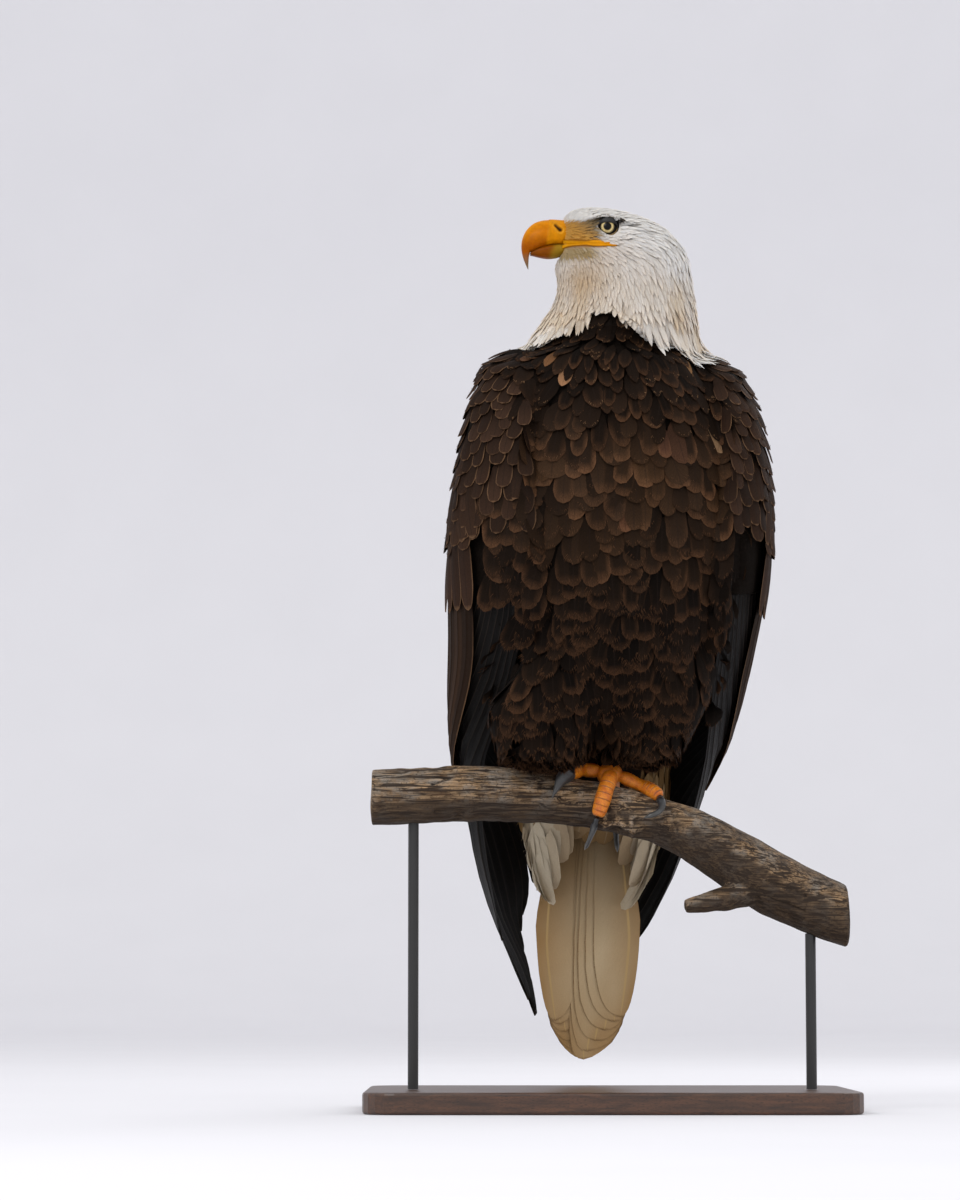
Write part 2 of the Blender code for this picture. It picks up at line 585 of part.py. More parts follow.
def make_stand():
    """A flat base with rounded corners, and two upright rods from it up into the branch."""
    width, depth, height = BASE_SIZE
    bpy.ops.mesh.primitive_cube_add(size=1)
    base = adopt("stand_base", None, "stand_base")
    base.data.transform(Matrix.Translation((0, 0, height / 2)) @ Matrix.Diagonal((width, depth, height, 1)))
    shape = bmesh.new()
    shape.from_mesh(base.data)
    upright = [e for e in shape.edges if abs(e.verts[0].co.z - e.verts[1].co.z) > height / 2]
    bmesh.ops.bevel(shape, geom=upright, offset=BASE_CORNER, segments=5, affect="EDGES", profile=0.5)
    shape.to_mesh(base.data)
    shape.free()
    edge = base.modifiers.new("edge", "BEVEL")
    edge.width = BASE_EDGE
    edge.segments = 2
    edge.limit_method = "ANGLE"
    edge.angle_limit = math.radians(50)
    stand = [base]
    for name, along in ROD_PLACES.items():
        top = PERCH_HEIGHT + float(smooth(PERCH, along)[0][0])
        bpy.ops.mesh.primitive_cylinder_add(vertices=16, radius=ROD_RADIUS, depth=top - height - GAP)
        rod = adopt(name, None, "stand_rod")
        rod.location = (along, PERCH_Y, (top + height + GAP) / 2)
        rod.data.shade_smooth()
        rod.data.set_sharp_from_angle(angle=math.radians(50))
        stand.append(rod)
    return stand


# ---------------------------------------------------------------- putting it together

clear_scene()
PARTS = collection("bald_eagle")
CUTTERS = collection("cutters")
MATERIALS = {name: material(name) for name in COLOURS}

bird = frame_empty("bird", (0, PERCH_Y, PERCH_HEIGHT), BODY_YAW)
head_frame = frame_empty("head_frame", (-0.002, PERCH_Y - HEAD_FORWARD, PERCH_HEIGHT + HEAD_RISE), HEAD_YAW)
perch_frame = frame_empty("perch_frame", (0, PERCH_Y, PERCH_HEIGHT), 0)

head, neck = make_head_and_neck(head_frame)
bill_upper, bill_lower = make_bill(head_frame)
gapes = make_gapes(head_frame)
eyes = make_eyes(head_frame)
trunk = make_trunk(bird)
wings, hollows = make_wings(bird)
tail = make_tail(bird)
tail_coverts = make_tail_coverts(bird)
thigh_left, thigh_right, shank = make_legs(bird)
foot, toes, claws = make_foot(perch_frame)
perch = make_perch(perch_frame)
stand_base, rod_right, rod_left = make_stand()

cut(head, *eyes, *gapes, bill_upper, bill_lower)
cut(bill_lower, bill_upper)
cut(trunk, neck, thigh_left, thigh_right, perch)
cut(trunk, *hollows[0], *hollows[1])
for wing in wings:
    if wing.name.endswith("coverts"):
        cut(wing, neck)
    if wing.name.endswith("primaries"):
        cut(wing, tail)
cut(tail, trunk)
cut(tail_coverts, tail, trunk, perch)
cut(thigh_right, perch, *toes, *claws[:1], *hollows[1])
cut(thigh_left, thigh_right, *hollows[0])
cut(thigh_left, foot, perch, *toes)
cut(shank, foot, thigh_left, trunk, *toes)
cut(foot, perch)
for toe in toes:
    cut(toe, foot, perch)
for claw, toe in zip(claws, toes):
    cut(claw, toe, perch)
cut(rod_right, perch)
cut(rod_left, perch)
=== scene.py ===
"""The looks of a life-size bald eagle perched on a cut length of branch. Metres, +Z up."""

import json
import math

import bpy
import numpy as np
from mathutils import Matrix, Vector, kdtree

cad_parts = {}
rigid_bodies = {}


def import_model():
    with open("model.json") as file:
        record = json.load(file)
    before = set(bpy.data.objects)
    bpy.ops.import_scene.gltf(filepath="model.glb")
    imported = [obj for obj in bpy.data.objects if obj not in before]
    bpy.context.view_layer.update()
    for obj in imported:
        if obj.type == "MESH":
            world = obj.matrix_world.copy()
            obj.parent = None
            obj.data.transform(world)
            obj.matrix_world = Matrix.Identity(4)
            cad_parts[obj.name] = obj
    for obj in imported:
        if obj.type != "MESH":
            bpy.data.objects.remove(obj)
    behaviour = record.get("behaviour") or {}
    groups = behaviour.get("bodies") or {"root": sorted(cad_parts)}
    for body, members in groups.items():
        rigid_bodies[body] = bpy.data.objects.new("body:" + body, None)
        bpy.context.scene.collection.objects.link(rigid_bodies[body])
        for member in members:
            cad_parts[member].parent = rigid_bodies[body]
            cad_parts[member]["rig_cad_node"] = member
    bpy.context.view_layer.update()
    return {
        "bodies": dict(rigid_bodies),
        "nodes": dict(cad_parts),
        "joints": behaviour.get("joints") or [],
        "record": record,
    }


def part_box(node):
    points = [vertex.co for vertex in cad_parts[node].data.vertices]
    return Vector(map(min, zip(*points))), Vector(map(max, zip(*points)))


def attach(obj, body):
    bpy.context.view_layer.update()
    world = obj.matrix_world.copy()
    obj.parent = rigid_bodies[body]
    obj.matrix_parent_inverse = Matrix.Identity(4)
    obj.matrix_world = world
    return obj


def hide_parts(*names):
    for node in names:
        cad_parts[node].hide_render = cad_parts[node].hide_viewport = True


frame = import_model()
nodes = frame["nodes"]

# ---------------------------------------------------------------- studio: camera, light, floor
# A pale paper sweep rolls down a wall and out over the table, lit by soft boxes and an even dome of light.
# The camera stands low in front of the bird and looks slightly up at it, as a visitor would.

CAMERA_AIM = np.array([-0.122, 0.0, 0.483])
CAMERA_DISTANCE = 3.6
CAMERA_RISE = math.radians(-6)
CAMERA_LENS = 113.3
PAPER = "#dfdfe4"


def linear(code):
    """An sRGB hex colour as linear red, green, blue, with an alpha of 1."""
    part = np.array([int(code[i:i + 2], 16) for i in (1, 3, 5)]) / 255
    value = np.where(part <= 0.04045, part / 12.92, ((part + 0.055) / 1.055) ** 2.4)
    return (*value.tolist(), 1.0)


# The output that is linked when a node is given in place of one; the rest give their first. A Mix blends two
# colours: its socket 0 is the share of the second, and 6 and 7 are the colours.
MAIN_OUTPUT = {"Mix": "Result_Color", "Attribute": "Fac", "TexCoord": "Object"}


def add(tree, kind, sockets=None, **settings):
    """Adds a shader node with its settings. A socket takes a value, a hex colour, a node or an output."""
    node = tree.nodes.new("ShaderNode" + kind)
    for key, value in ({"data_type": "RGBA"} | settings if kind == "Mix" else settings).items():
        setattr(node, key, value)
    for key, value in (sockets or {}).items():
        if isinstance(value, bpy.types.Node):
            main = MAIN_OUTPUT.get(value.bl_idname.removeprefix("ShaderNode"), value.outputs[0].identifier)
            value = next(output for output in value.outputs if output.identifier == main)
        if isinstance(value, bpy.types.NodeSocket):
            tree.links.new(value, node.inputs[key])
        else:
            node.inputs[key].default_value = linear(value) if isinstance(value, str) else value
    return node


def begin(name):
    """A new empty material and its node tree."""
    made = bpy.data.materials.new(name)
    made.use_nodes = True
    made.node_tree.nodes.clear()
    return made, made.node_tree


def close(tree, sockets):
    """Ends a material: one Principled shader with these sockets, linked to the output."""
    shader = add(tree, "BsdfPrincipled", sockets)
    add(tree, "OutputMaterial", {"Surface": shader})


def new_mesh(name, points, corners, sizes, material=None):
    """A linked mesh object: points as rows, all faces' corners in one list, and the size of each face."""
    mesh = bpy.data.meshes.new(name)
    mesh.vertices.add(len(points))
    mesh.vertices.foreach_set("co", np.asarray(points, np.float32).ravel())
    mesh.loops.add(len(corners))
    mesh.loops.foreach_set("vertex_index", np.asarray(corners, np.int32))
    mesh.polygons.add(len(sizes))
    mesh.polygons.foreach_set("loop_start", (np.cumsum(sizes) - sizes).astype(np.int32))
    mesh.polygons.foreach_set("use_smooth", np.ones(len(sizes), bool))
    mesh.update(calc_edges=True)
    if material:
        mesh.materials.append(material)
    made = bpy.data.objects.new(name, mesh)
    bpy.context.scene.collection.objects.link(made)
    return made


def grid(name, points, material, around=False):
    """A sheet through rows of points. around joins its last column to its first, for a tube."""
    rows, columns = points.shape[:2]
    at = np.arange(rows * columns).reshape(rows, columns)
    right = np.roll(at, -1, axis=1) if around else at[:, 1:]
    left = at if around else at[:, :-1]
    faces = np.stack([left[:-1], right[:-1], right[1:], left[1:]], axis=-1).reshape(-1, 4)
    return new_mesh(name, points.reshape(-1, 3), faces.ravel(), np.full(len(faces), 4), material)


paper, tree = begin("matt seamless paper")
where = add(tree, "TexCoord")
fibre = add(tree, "TexNoise", {"Vector": where, "Scale": 3.0, "Detail": 2.0})
tint = add(tree, "Mix", {0: fibre, 6: PAPER, 7: "#e3e3e8"})
close(tree, {"Base Color": tint, "Roughness": 0.9, "Specular IOR Level": 0.2})

# The sweep: flat for 7 m behind the bird, then a quarter round, then straight up.
turn = np.linspace(0, math.pi / 2, 16)
run = np.concatenate([[-9.0], 7.0 + 3.0 * np.sin(turn), [10.0]])
rise = np.concatenate([[0.0], 3.0 - 3.0 * np.cos(turn), [14.0]])
across = np.linspace(-14, 14, 3)
sweep_points = np.stack(np.broadcast_arrays(across[:, None], run[None], rise[None] - 0.0002), axis=-1)
floor = grid("paper_sweep", sweep_points[::-1], paper)

world = bpy.data.worlds.new("studio")
bpy.context.scene.world = world
world.use_nodes = True
world.node_tree.nodes.clear()
dome = add(world.node_tree, "Background", {"Color": "#f7f6f6", "Strength": 1.12})
add(world.node_tree, "OutputWorld", {"Surface": dome})

# Soft boxes: name, place, size, watts. Each points at the bird's breast.
for name, place, size, watts in (
    ("key", (-1.5, -2.3, 2.3), 1.3, 30.0),
    ("fill", (2.0, -2.4, 1.2), 1.8, 5.0),
    ("rim", (1.4, 1.7, 2.0), 1.4, 14.0),
):
    lamp = bpy.data.lights.new(name, "AREA")
    lamp.shape = "DISK"
    lamp.size = size
    lamp.energy = watts
    light = bpy.data.objects.new(name, lamp)
    light.location = place
    aim = np.array([0.0, 0.0, 0.5]) - place
    pitch = math.acos(-aim[2] / np.linalg.norm(aim))
    light.rotation_euler = (pitch, 0, math.atan2(aim[1], aim[0]) - math.pi / 2)
    bpy.context.scene.collection.objects.link(light)

rod_low, rod_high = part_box("stand_rod_left")
perch_y = (rod_low.y + rod_high.y) / 2
lens = bpy.data.cameras.new("camera")
lens.lens = CAMERA_LENS
camera = bpy.data.objects.new("camera", lens)
camera.location = CAMERA_AIM + (
    0, perch_y - CAMERA_DISTANCE * math.cos(CAMERA_RISE), CAMERA_DISTANCE * math.sin(CAMERA_RISE))
camera.rotation_euler = (math.pi / 2 - CAMERA_RISE, 0, 0)
bpy.context.scene.collection.objects.link(camera)
bpy.context.scene.camera = camera
bpy.context.scene.view_settings.view_transform = "Standard"

# ---------------------------------------------------------------- display base
# A slab of close-grained hardwood, planed, stained dark and rubbed with wax. Its edges are lightly eased.
# The two rods that hold the branch are screwed into it from below.


def dress(obj, material):
    """Gives a piece one material and its slot, and lets it ride on the model's one body."""
    obj.data.materials.clear()
    obj.data.materials.append(material)
    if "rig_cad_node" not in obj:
        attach(obj, "root")
    return obj


stained, tree = begin("walnut-stained waxed hardwood")
where = add(tree, "TexCoord")
# The grain runs along the slab: figure 25 mm long and 3 mm wide, with pores 4 mm long and 0.4 mm wide.
long_way = add(tree, "Mapping", {"Vector": where, "Scale": (6.0, 60.0, 60.0)})
figure = add(tree, "TexNoise", {"Vector": long_way, "Scale": 5.5, "Detail": 5.0, "Distortion": 0.6})
pore_way = add(tree, "Mapping", {"Vector": where, "Scale": (250.0, 2500.0, 2500.0)})
pores = add(tree, "TexNoise", {"Vector": pore_way, "Scale": 1.0, "Detail": 1.0})
pore_mask = add(tree, "MapRange", {"Value": pores, "From Min": 0.56, "From Max": 0.68})
tone = add(tree, "MapRange", {"Value": figure, "From Min": 0.3, "From Max": 0.7})
wood = add(tree, "Mix", {0: tone, 6: "#2f1d13", 7: "#553623"})
wood = add(tree, "Mix", {0: pore_mask, 6: wood, 7: "#1b100b"})
rough = add(tree, "MapRange", {"Value": figure, "To Min": 0.34, "To Max": 0.50})
dents = add(tree, "Bump", {"Height": pores, "Strength": 0.25, "Distance": 0.0002})
close(tree, {"Base Color": wood, "Roughness": rough, "Normal": dents,
             "Coat Weight": 0.15, "Coat Roughness": 0.3})
dress(nodes["stand_base"], stained)

# ---------------------------------------------------------------- rods
# Two lengths of 10 mm round steel bar, powder-coated satin black. They stand in drilled holes in the base,
# and their upper ends enter the branch.

powder, tree = begin("satin black powder coat on steel")
where = add(tree, "TexCoord")
# Orange peel about 0.8 mm across.
peel = add(tree, "TexNoise", {"Vector": where, "Scale": 1250.0, "Detail": 1.0})
haze = add(tree, "MapRange", {"Value": peel, "To Min": 0.36, "To Max": 0.48})
skin_bump = add(tree, "Bump", {"Height": peel, "Strength": 0.15, "Distance": 0.0001})
close(tree, {"Base Color": "#1b1b1c", "Roughness": haze, "Normal": skin_bump})
for side in ("left", "right"):
    dress(nodes[f"stand_rod_{side}"], powder)

# ---------------------------------------------------------------- branch
# A cut length of dead limb whose bark has long since gone: grey-tan weathered wood with lengthwise
# checks, a gnarled knot under the foot and a broken side stub. It lies on the rods' ends.

BRANCH_VOXEL = 0.0017
BRANCH_RADIUS = 0.027
# The knot's place along the limb, its turn from the top to the front, and its reach; then a rot hole in it.
KNOT_ALONG, KNOT_ANGLE, KNOT_REACH = 0.008, math.radians(124), 0.019
HOLE_ALONG, HOLE_ANGLE, HOLE_REACH, HOLE_DEPTH = 0.004, 0.42, 0.0065, 0.0080


def held(values):
    """Values held between 0 and 1."""
    return np.clip(values, 0, 1)


def bell(values):
    """A bell curve: 1 at 0, a third at 1 and next to nothing beyond 2."""
    return np.exp(-(values**2))


def unit(vectors):
    """Each row divided by its length."""
    return vectors / np.maximum(np.linalg.norm(vectors, axis=-1, keepdims=True), 1e-12)


def read(items, key, width=1, kind=np.float32):
    """One property of all a mesh's vertices, faces or corners; with a width, as rows that wide."""
    out = np.empty(len(items) * width, kind)
    items.foreach_get(key, out)
    return out.reshape(-1, width).astype(float) if width > 1 else out


def points_of(obj):
    """The vertices of a mesh object as rows of x, y, z."""
    return read(obj.data.vertices, "co", 3)


def normals_of(obj):
    """The vertex normals of a mesh object."""
    return read(obj.data.vertex_normals, "vector", 3)


def faces_of(obj):
    """All faces' corners of a mesh object in one list, and the size of each face."""
    corners = read(obj.data.loops, "vertex_index", kind=np.int32)
    return corners, read(obj.data.polygons, "loop_total", kind=np.int32)


def put_points(obj, points):
    """Moves a mesh object's vertices to these places."""
    obj.data.vertices.foreach_set("co", np.asarray(points, np.float32).ravel())
    obj.data.update()


def mark(obj, name, values):
    """Writes one number, or one colour, for each vertex of a piece as a named attribute."""
    values = np.asarray(values, np.float32)
    if values.ndim == 1:
        obj.data.attributes.new(name, "FLOAT", "POINT").data.foreach_set("value", values)
    else:
        colour = np.column_stack([values, np.ones(len(values), np.float32)])
        obj.data.attributes.new(name, "FLOAT_COLOR", "POINT").data.foreach_set("color", colour.ravel())


def modify(obj, kind, **settings):
    """Adds a modifier with these settings to an object."""
    made = obj.modifiers.new(kind.lower(), kind)
    for key, value in settings.items():
        setattr(made, key, value)


def evaluated(obj):
    """An object as its modifiers leave it, to read from."""
    bpy.context.view_layer.update()
    return obj.evaluated_get(bpy.context.evaluated_depsgraph_get())


def fused(name, names, voxel, smoothing):
    """One closed smooth mesh round several solids: their copies, merged, remeshed in voxels and smoothed."""
    solids = [nodes[each] for each in names]
    starts = np.cumsum([0] + [len(solid.data.vertices) for solid in solids])
    corners, sizes = zip(*map(faces_of, solids))
    corners = np.concatenate([each + start for each, start in zip(corners, starts)])
    points = np.concatenate([points_of(solid) for solid in solids])
    made = new_mesh(name, points, corners, np.concatenate(sizes))
    modify(made, "WELD", merge_threshold=0.00005)
    modify(made, "REMESH", mode="VOXEL", voxel_size=voxel, use_smooth_shade=True)
    modify(made, "SMOOTH", factor=0.5, iterations=smoothing)
    rough = made.data
    made.data = bpy.data.meshes.new_from_object(evaluated(made))
    made.modifiers.clear()
    bpy.data.meshes.remove(rough)
    return made


def value_noise(points, seed):
    """Smooth noise from -1 to 1: a hashed value at each whole-number corner, blended between corners."""
    cell = np.floor(points).astype(np.int64)
    part = points - cell
    part = part * part * (3 - 2 * part)
    total = np.zeros(len(points))
    for corner in np.ndindex(2, 2, 2):
        at = cell + corner
        hashed = at[:, 0] * 73856093 ^ at[:, 1] * 19349663 ^ at[:, 2] * 83492791 ^ (seed * 2654435761)
        hashed = (hashed ^ (hashed >> 13)) * 1274126177 & 0x7FFFFFFF
        weight = np.prod(np.where(corner, part, 1 - part), axis=1)
        total += weight * (hashed / 0x3FFFFFFF - 1)
    return total


branch = fused("branch", ["perch"], BRANCH_VOXEL, smoothing=14)
points, out = points_of(branch), normals_of(branch)
low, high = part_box("perch")
slices = np.linspace(low.x, high.x, 60)
bands = [points[np.abs(points[:, 0] - x) < slices[1] - slices[0]] for x in slices]
core_y = [band[:, 1].mean() for band in bands]
core_z = [(band[:, 2].max() + band[:, 2].min()) / 2 for band in bands]


def core_of(x):
    """The places on the branch's middle line at these x."""
    return np.column_stack([x, np.interp(x, slices, core_y), np.interp(x, slices, core_z)])


off_core = points - core_of(points[:, 0])
angle = np.arctan2(-off_core[:, 1], off_core[:, 2])
on_side = held(1 - np.abs(out[:, 0]) * 1.6)
# Ridges run along the limb: noise read on the round, 4 mm wide and 60 mm long, then finer ones.
ring = np.column_stack([np.sin(angle), np.cos(angle)]) * 0.026
ridges = value_noise(np.column_stack([points[:, 0] / 0.060, ring / 0.0045]), 1) * 0.0011
ridges += value_noise(np.column_stack([points[:, 0] / 0.022, ring / 0.0020]), 2) * 0.0006
lumps = value_noise(points / 0.028, 3) * 0.0022 + value_noise(points / 0.011, 4) * 0.0010
checks = value_noise(np.column_stack([points[:, 0] / 0.095, ring / 0.0085]), 5)
checks = -0.0024 * bell(checks / 0.05) * (value_noise(points / 0.05, 6) > 0.0)
# The knot is a mound of folded burls.
turned = (angle - KNOT_ANGLE + math.pi) % (2 * math.pi) - math.pi
knot = np.hypot(points[:, 0] - KNOT_ALONG, turned * BRANCH_RADIUS) / KNOT_REACH
gnarl = np.exp(-knot**4)
burl = 1 - 2.6 * np.abs(value_noise(points / 0.0085, 7))
lumps += gnarl * (0.0030 + 0.0042 * burl + 0.0018 * value_noise(points / 0.0030, 8))
hole = np.hypot(points[:, 0] - KNOT_ALONG + HOLE_ALONG, (turned - HOLE_ANGLE) * BRANCH_RADIUS) / HOLE_REACH
hollow = np.exp(-hole**4)
lumps -= HOLE_DEPTH * hollow
put_points(branch, points + out * ((ridges + checks) * on_side + lumps * np.maximum(on_side, 0.3))[:, None])
# Painted shade: the underside, the stretch to the right, the knot's folds and its hole are darkened, as if
# lit from above and the left.
under = np.clip(0.35 - out[:, 2], 0, 1.2) / 1.2
shade_to_the_right = held((points[:, 0] - 0.01) / 0.10) * (0.46 + 0.34 * value_noise(points / 0.009, 9))
knot_fold_shade = held(0.80 - 1.1 * burl)
mark(branch, "under", held((under + shade_to_the_right) * (1 - gnarl) + knot_fold_shade * gnarl + hollow))

weathered, tree = begin("weathered barkless hardwood limb")
where = add(tree, "TexCoord")
# Grain 1.2 mm wide and 45 mm long, with dark checks and grey lichen bloom in patches of about 20 mm.
grain_way = add(tree, "Mapping", {"Vector": where, "Scale": (22.0, 800.0, 800.0)})
grain = add(tree, "TexNoise", {"Vector": grain_way, "Scale": 1.0, "Detail": 4.0, "Distortion": 0.4})
line_way = add(tree, "Mapping", {"Vector": where, "Scale": (14.0, 260.0, 260.0)})
lines = add(tree, "TexNoise", {"Vector": line_way, "Scale": 1.0, "Detail": 3.0, "Distortion": 1.0})
bloom = add(tree, "TexNoise", {"Vector": where, "Scale": 48.0, "Detail": 6.0, "Roughness": 0.65})
fleck = add(tree, "TexNoise", {"Vector": where, "Scale": 420.0, "Detail": 3.0, "Roughness": 0.7})
tone = add(tree, "MapRange", {"Value": grain, "From Min": 0.40, "From Max": 0.60})
wood = add(tree, "Mix", {0: tone, 6: "#4d3722", 7: "#a98b69"})
# Grey bloom, dark checks and dark flecks, each by its noise from and to, its most and its colour.
for noise, start, full, most, colour in (
    (bloom, 0.46, 0.66, 0.75, "#8d8880"),
    (lines, 0.49, 0.42, 0.92, "#281d14"),
    (fleck, 0.54, 0.66, 0.75, "#2b2119"),
):
    cover = add(tree, "MapRange", {"Value": noise, "From Min": start, "From Max": full, "To Max": most})
    wood = add(tree, "Mix", {0: cover, 6: wood, 7: colour})
# Painted shade in the hollows: where pointiness finds the surface concave, the colour is darkened to under
# half.
dip = add(tree, "NewGeometry").outputs["Pointiness"]
pit = add(tree, "MapRange", {"Value": dip, "From Min": 0.44, "From Max": 0.52, "To Min": 0.45})
wood = add(tree, "Mix", {0: 1.0, 6: wood, 7: pit}, blend_type="MULTIPLY")
# Painted shade: by the "under" attribute the wood darkens towards #2a1f16 on the underside, to the right and
# in the knot.
painted_shade = add(tree, "Attribute", attribute_name="under")
painted_shade = add(tree, "MapRange", {"Value": painted_shade, "From Min": 0.12, "From Max": 0.75, "To Max": 0.85})
wood = add(tree, "Mix", {0: painted_shade, 6: wood, 7: "#2a1f16"})
relief = add(tree, "Math", {0: grain, 1: fleck}, operation="ADD")
bump = add(tree, "Bump", {"Height": relief, "Strength": 0.7, "Distance": 0.0008})
close(tree, {"Base Color": wood, "Roughness": 0.82, "Normal": bump,
             "Specular IOR Level": 0.3})
dress(branch, weathered)
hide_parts("perch")

# ---------------------------------------------------------------- foot
# The bird's bare foot: orange-yellow skin over tendon, with a row of broad overlapping scutes on the
# upper side of each toe towards the claw and small round scales elsewhere. Three toes grip from the front
# and one from behind.

SCUTE = 0.0052
SCALE = 0.0017


def thread(name, start, count, voxel=0.0009):
    """A solid's middle line and its radius, read in bands of equal distance from the start point."""
    dense = fused("thread", [name], voxel, smoothing=2)
    points = points_of(dense)
    bpy.data.objects.remove(dense)
    away = np.linalg.norm(points - start, axis=1)
    edges = np.quantile(away, np.linspace(0.01, 0.99, count + 1))
    bands = [points[(away >= a) & (away <= b)] for a, b in zip(edges[:-1], edges[1:])]
    line = np.array([band.mean(axis=0) for band in bands])
    radius = np.array([np.linalg.norm(band - middle, axis=1).mean() for band, middle in zip(bands, line)])
    return line, radius


def resampled(rows, count):
    """Rows of numbers read at equal steps of arc length of their first three, then smoothed once."""
    length = np.concatenate([[0], np.cumsum(np.linalg.norm(np.diff(rows[:, :3], axis=0), axis=1))])
    at = np.linspace(0, length[-1], count)
    made = np.column_stack([np.interp(at, length, column) for column in rows.T])
    for _ in range(max(2, count // 6)):
        made[1:-1] = (made[:-2] + 2 * made[1:-1] + made[2:]) / 4
    return made


def tube_frames(line, up):
    """Unit vectors along, to the side and upwards at each point of a line; up is roughly upwards there."""
    along = unit(np.gradient(line, axis=0))
    side = unit(np.cross(along, up))
    return along, side, np.cross(side, along)


def rings_round(line, frame, across, rise):
    """Rings of points round a line: across to the side and rise upwards, as tube_frames has them."""
    _, side, lift = frame
    return line[:, None] + side[:, None] * across[..., None] + lift[:, None] * rise[..., None]


def capped_tube(name, rings, material):
    """A tube through rings of points, closed at both ends by rings shrunk to a point."""
    first, last = rings[0].mean(axis=0), rings[-1].mean(axis=0)
    starts = [rings[:1] * size + first * (1 - size) for size in (0.0, 0.6)]
    ends = [rings[-1:] * size + last * (1 - size) for size in (0.6, 0.0)]
    return grid(name, np.concatenate([*starts, rings, *ends]), material, around=True)


scaled, tree = begin("scaly yellow foot skin")
where = add(tree, "TexCoord")
edge = add(tree, "TexVoronoi", {"Vector": where, "Scale": 1 / SCALE, "Randomness": 0.8},
           feature="DISTANCE_TO_EDGE")
groove = add(tree, "Attribute", attribute_name="groove")
stain = add(tree, "TexNoise", {"Vector": where, "Scale": 160.0, "Detail": 3.0})
tone = add(tree, "MapRange", {"Value": stain, "From Min": 0.35, "From Max": 0.65})
skin = add(tree, "Mix", {0: tone, 6: "#bd600a", 7: "#dc8416"})
crack = add(tree, "MapRange", {"Value": edge, "From Max": 0.10, "To Min": 0.45, "To Max": 0.0})
skin = add(tree, "Mix", {0: crack, 6: skin, 7: "#7a3708"})
skin = add(tree, "Mix", {0: groove, 6: skin, 7: "#3d1a07"})
rounds = add(tree, "MapRange", {"Value": edge, "From Max": 0.35})
bump = add(tree, "Bump", {"Height": rounds, "Strength": 0.6, "Distance": 0.0004})
close(tree, {"Base Color": skin, "Roughness": 0.46, "Normal": bump,
             "Subsurface Weight": 0.12, "Subsurface Radius": (0.004, 0.002, 0.001), "Subsurface Scale": 0.6})

foot_low, foot_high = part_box("foot_left")
foot_middle = np.array((foot_low + foot_high) / 2)


def scaled_tube(name, line, radius, up, plates):
    """A toe: round rings along a line, with scutes from plates (a share of its length) on to its end.

    A scute rises along its length and drops sharply at its end; it fades out towards the underside.
    """
    turn = np.linspace(0, 2 * math.pi, 36, endpoint=False)
    share = np.linspace(0, 1, len(line))
    length = np.linalg.norm(np.diff(line, axis=0), axis=1).sum()
    ramp = (share * length / SCUTE) % 1.0
    on = held((share - plates) / 0.12)[:, None] * (held(np.cos(turn)) ** 0.6)[None]
    saw = ramp**0.7 * (1 - held((ramp - 0.86) / 0.14) ** 1.5)
    relief = 0.0009 * (saw[:, None] - 0.4) * on
    knuckle = 0.05 * np.cos(share * 3 * 2 * math.pi)[:, None]
    reach = radius[:, None] * (1 + knuckle * (0.4 + 0.6 * np.cos(turn)[None] ** 2)) + relief
    rings = rings_round(line, tube_frames(line, up), reach * np.sin(turn), reach * np.cos(turn))
    made = capped_tube(name, rings, scaled)
    dark = held((ramp - 0.80) / 0.1) * held((1.0 - ramp) / 0.05)
    mark(made, "groove", np.pad(dark[:, None] * on * 0.85, ((2, 2), (0, 0))).ravel())
    return dress(made, scaled)


toe_ends = {}
for toe in ("inner", "middle", "outer", "hind"):
    line, radius = thread(f"toe_{toe}", foot_middle, count=12)
    rows = np.column_stack([line, radius])
    rows = np.concatenate([[[*(foot_middle * 0.75 + line[0] * 0.25), radius[0] * 1.02]], rows])
    rows = resampled(rows, 90)
    line, radius = rows[:, :3], rows[:, 3].copy()
    radius[-6:] *= np.array([1.0, 0.99, 0.97, 0.93, 0.86, 0.76])
    up = unit(line - core_of(line[:, 0]))
    made = scaled_tube(f"scaled_toe_{toe}", line, radius, up, 0.30 if toe in ("middle", "hind") else 0.55)
    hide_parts(f"toe_{toe}")
    toe_ends[toe] = line[-1]

# The shank and the pad under the toes' roots.
line, radius = thread("shank_left", foot_middle, count=6)
beyond = line[-1] + (line[-1] - line[-2]) * 1.5
rows = np.vstack([[*foot_middle, radius[0]], np.column_stack([line, radius]), [*beyond, radius[-1]]])
rows = resampled(rows, 50)
shank = scaled_tube("scaled_shank", rows[:, :3], rows[:, 3], np.array([[0.0, -1.0, 0.2]]), 0.3)
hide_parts("shank_left")

u = np.linspace(0, math.pi, 26)[:, None]
v = np.linspace(0, 2 * math.pi, 40, endpoint=False)[None]
half = np.array((foot_high - foot_low) / 2)
ball = np.stack(np.broadcast_arrays(np.sin(u) * np.cos(v), np.sin(u) * np.sin(v), np.cos(u)), axis=-1)
ball = ball * (1 + 0.05 * value_noise(ball.reshape(-1, 3) * 3, 11).reshape(26, 40, 1))
pad = grid("scaled_foot_pad", (foot_middle + ball * half)[::-1], scaled, around=True)
dress(pad, scaled)
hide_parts("foot_left")

# ---------------------------------------------------------------- claws
# Hooked horn sheaths, dark slate grey and satin, with a blunt keel above and faint streaks along them.
# Each grows out of a toe's end and presses its point towards the branch.

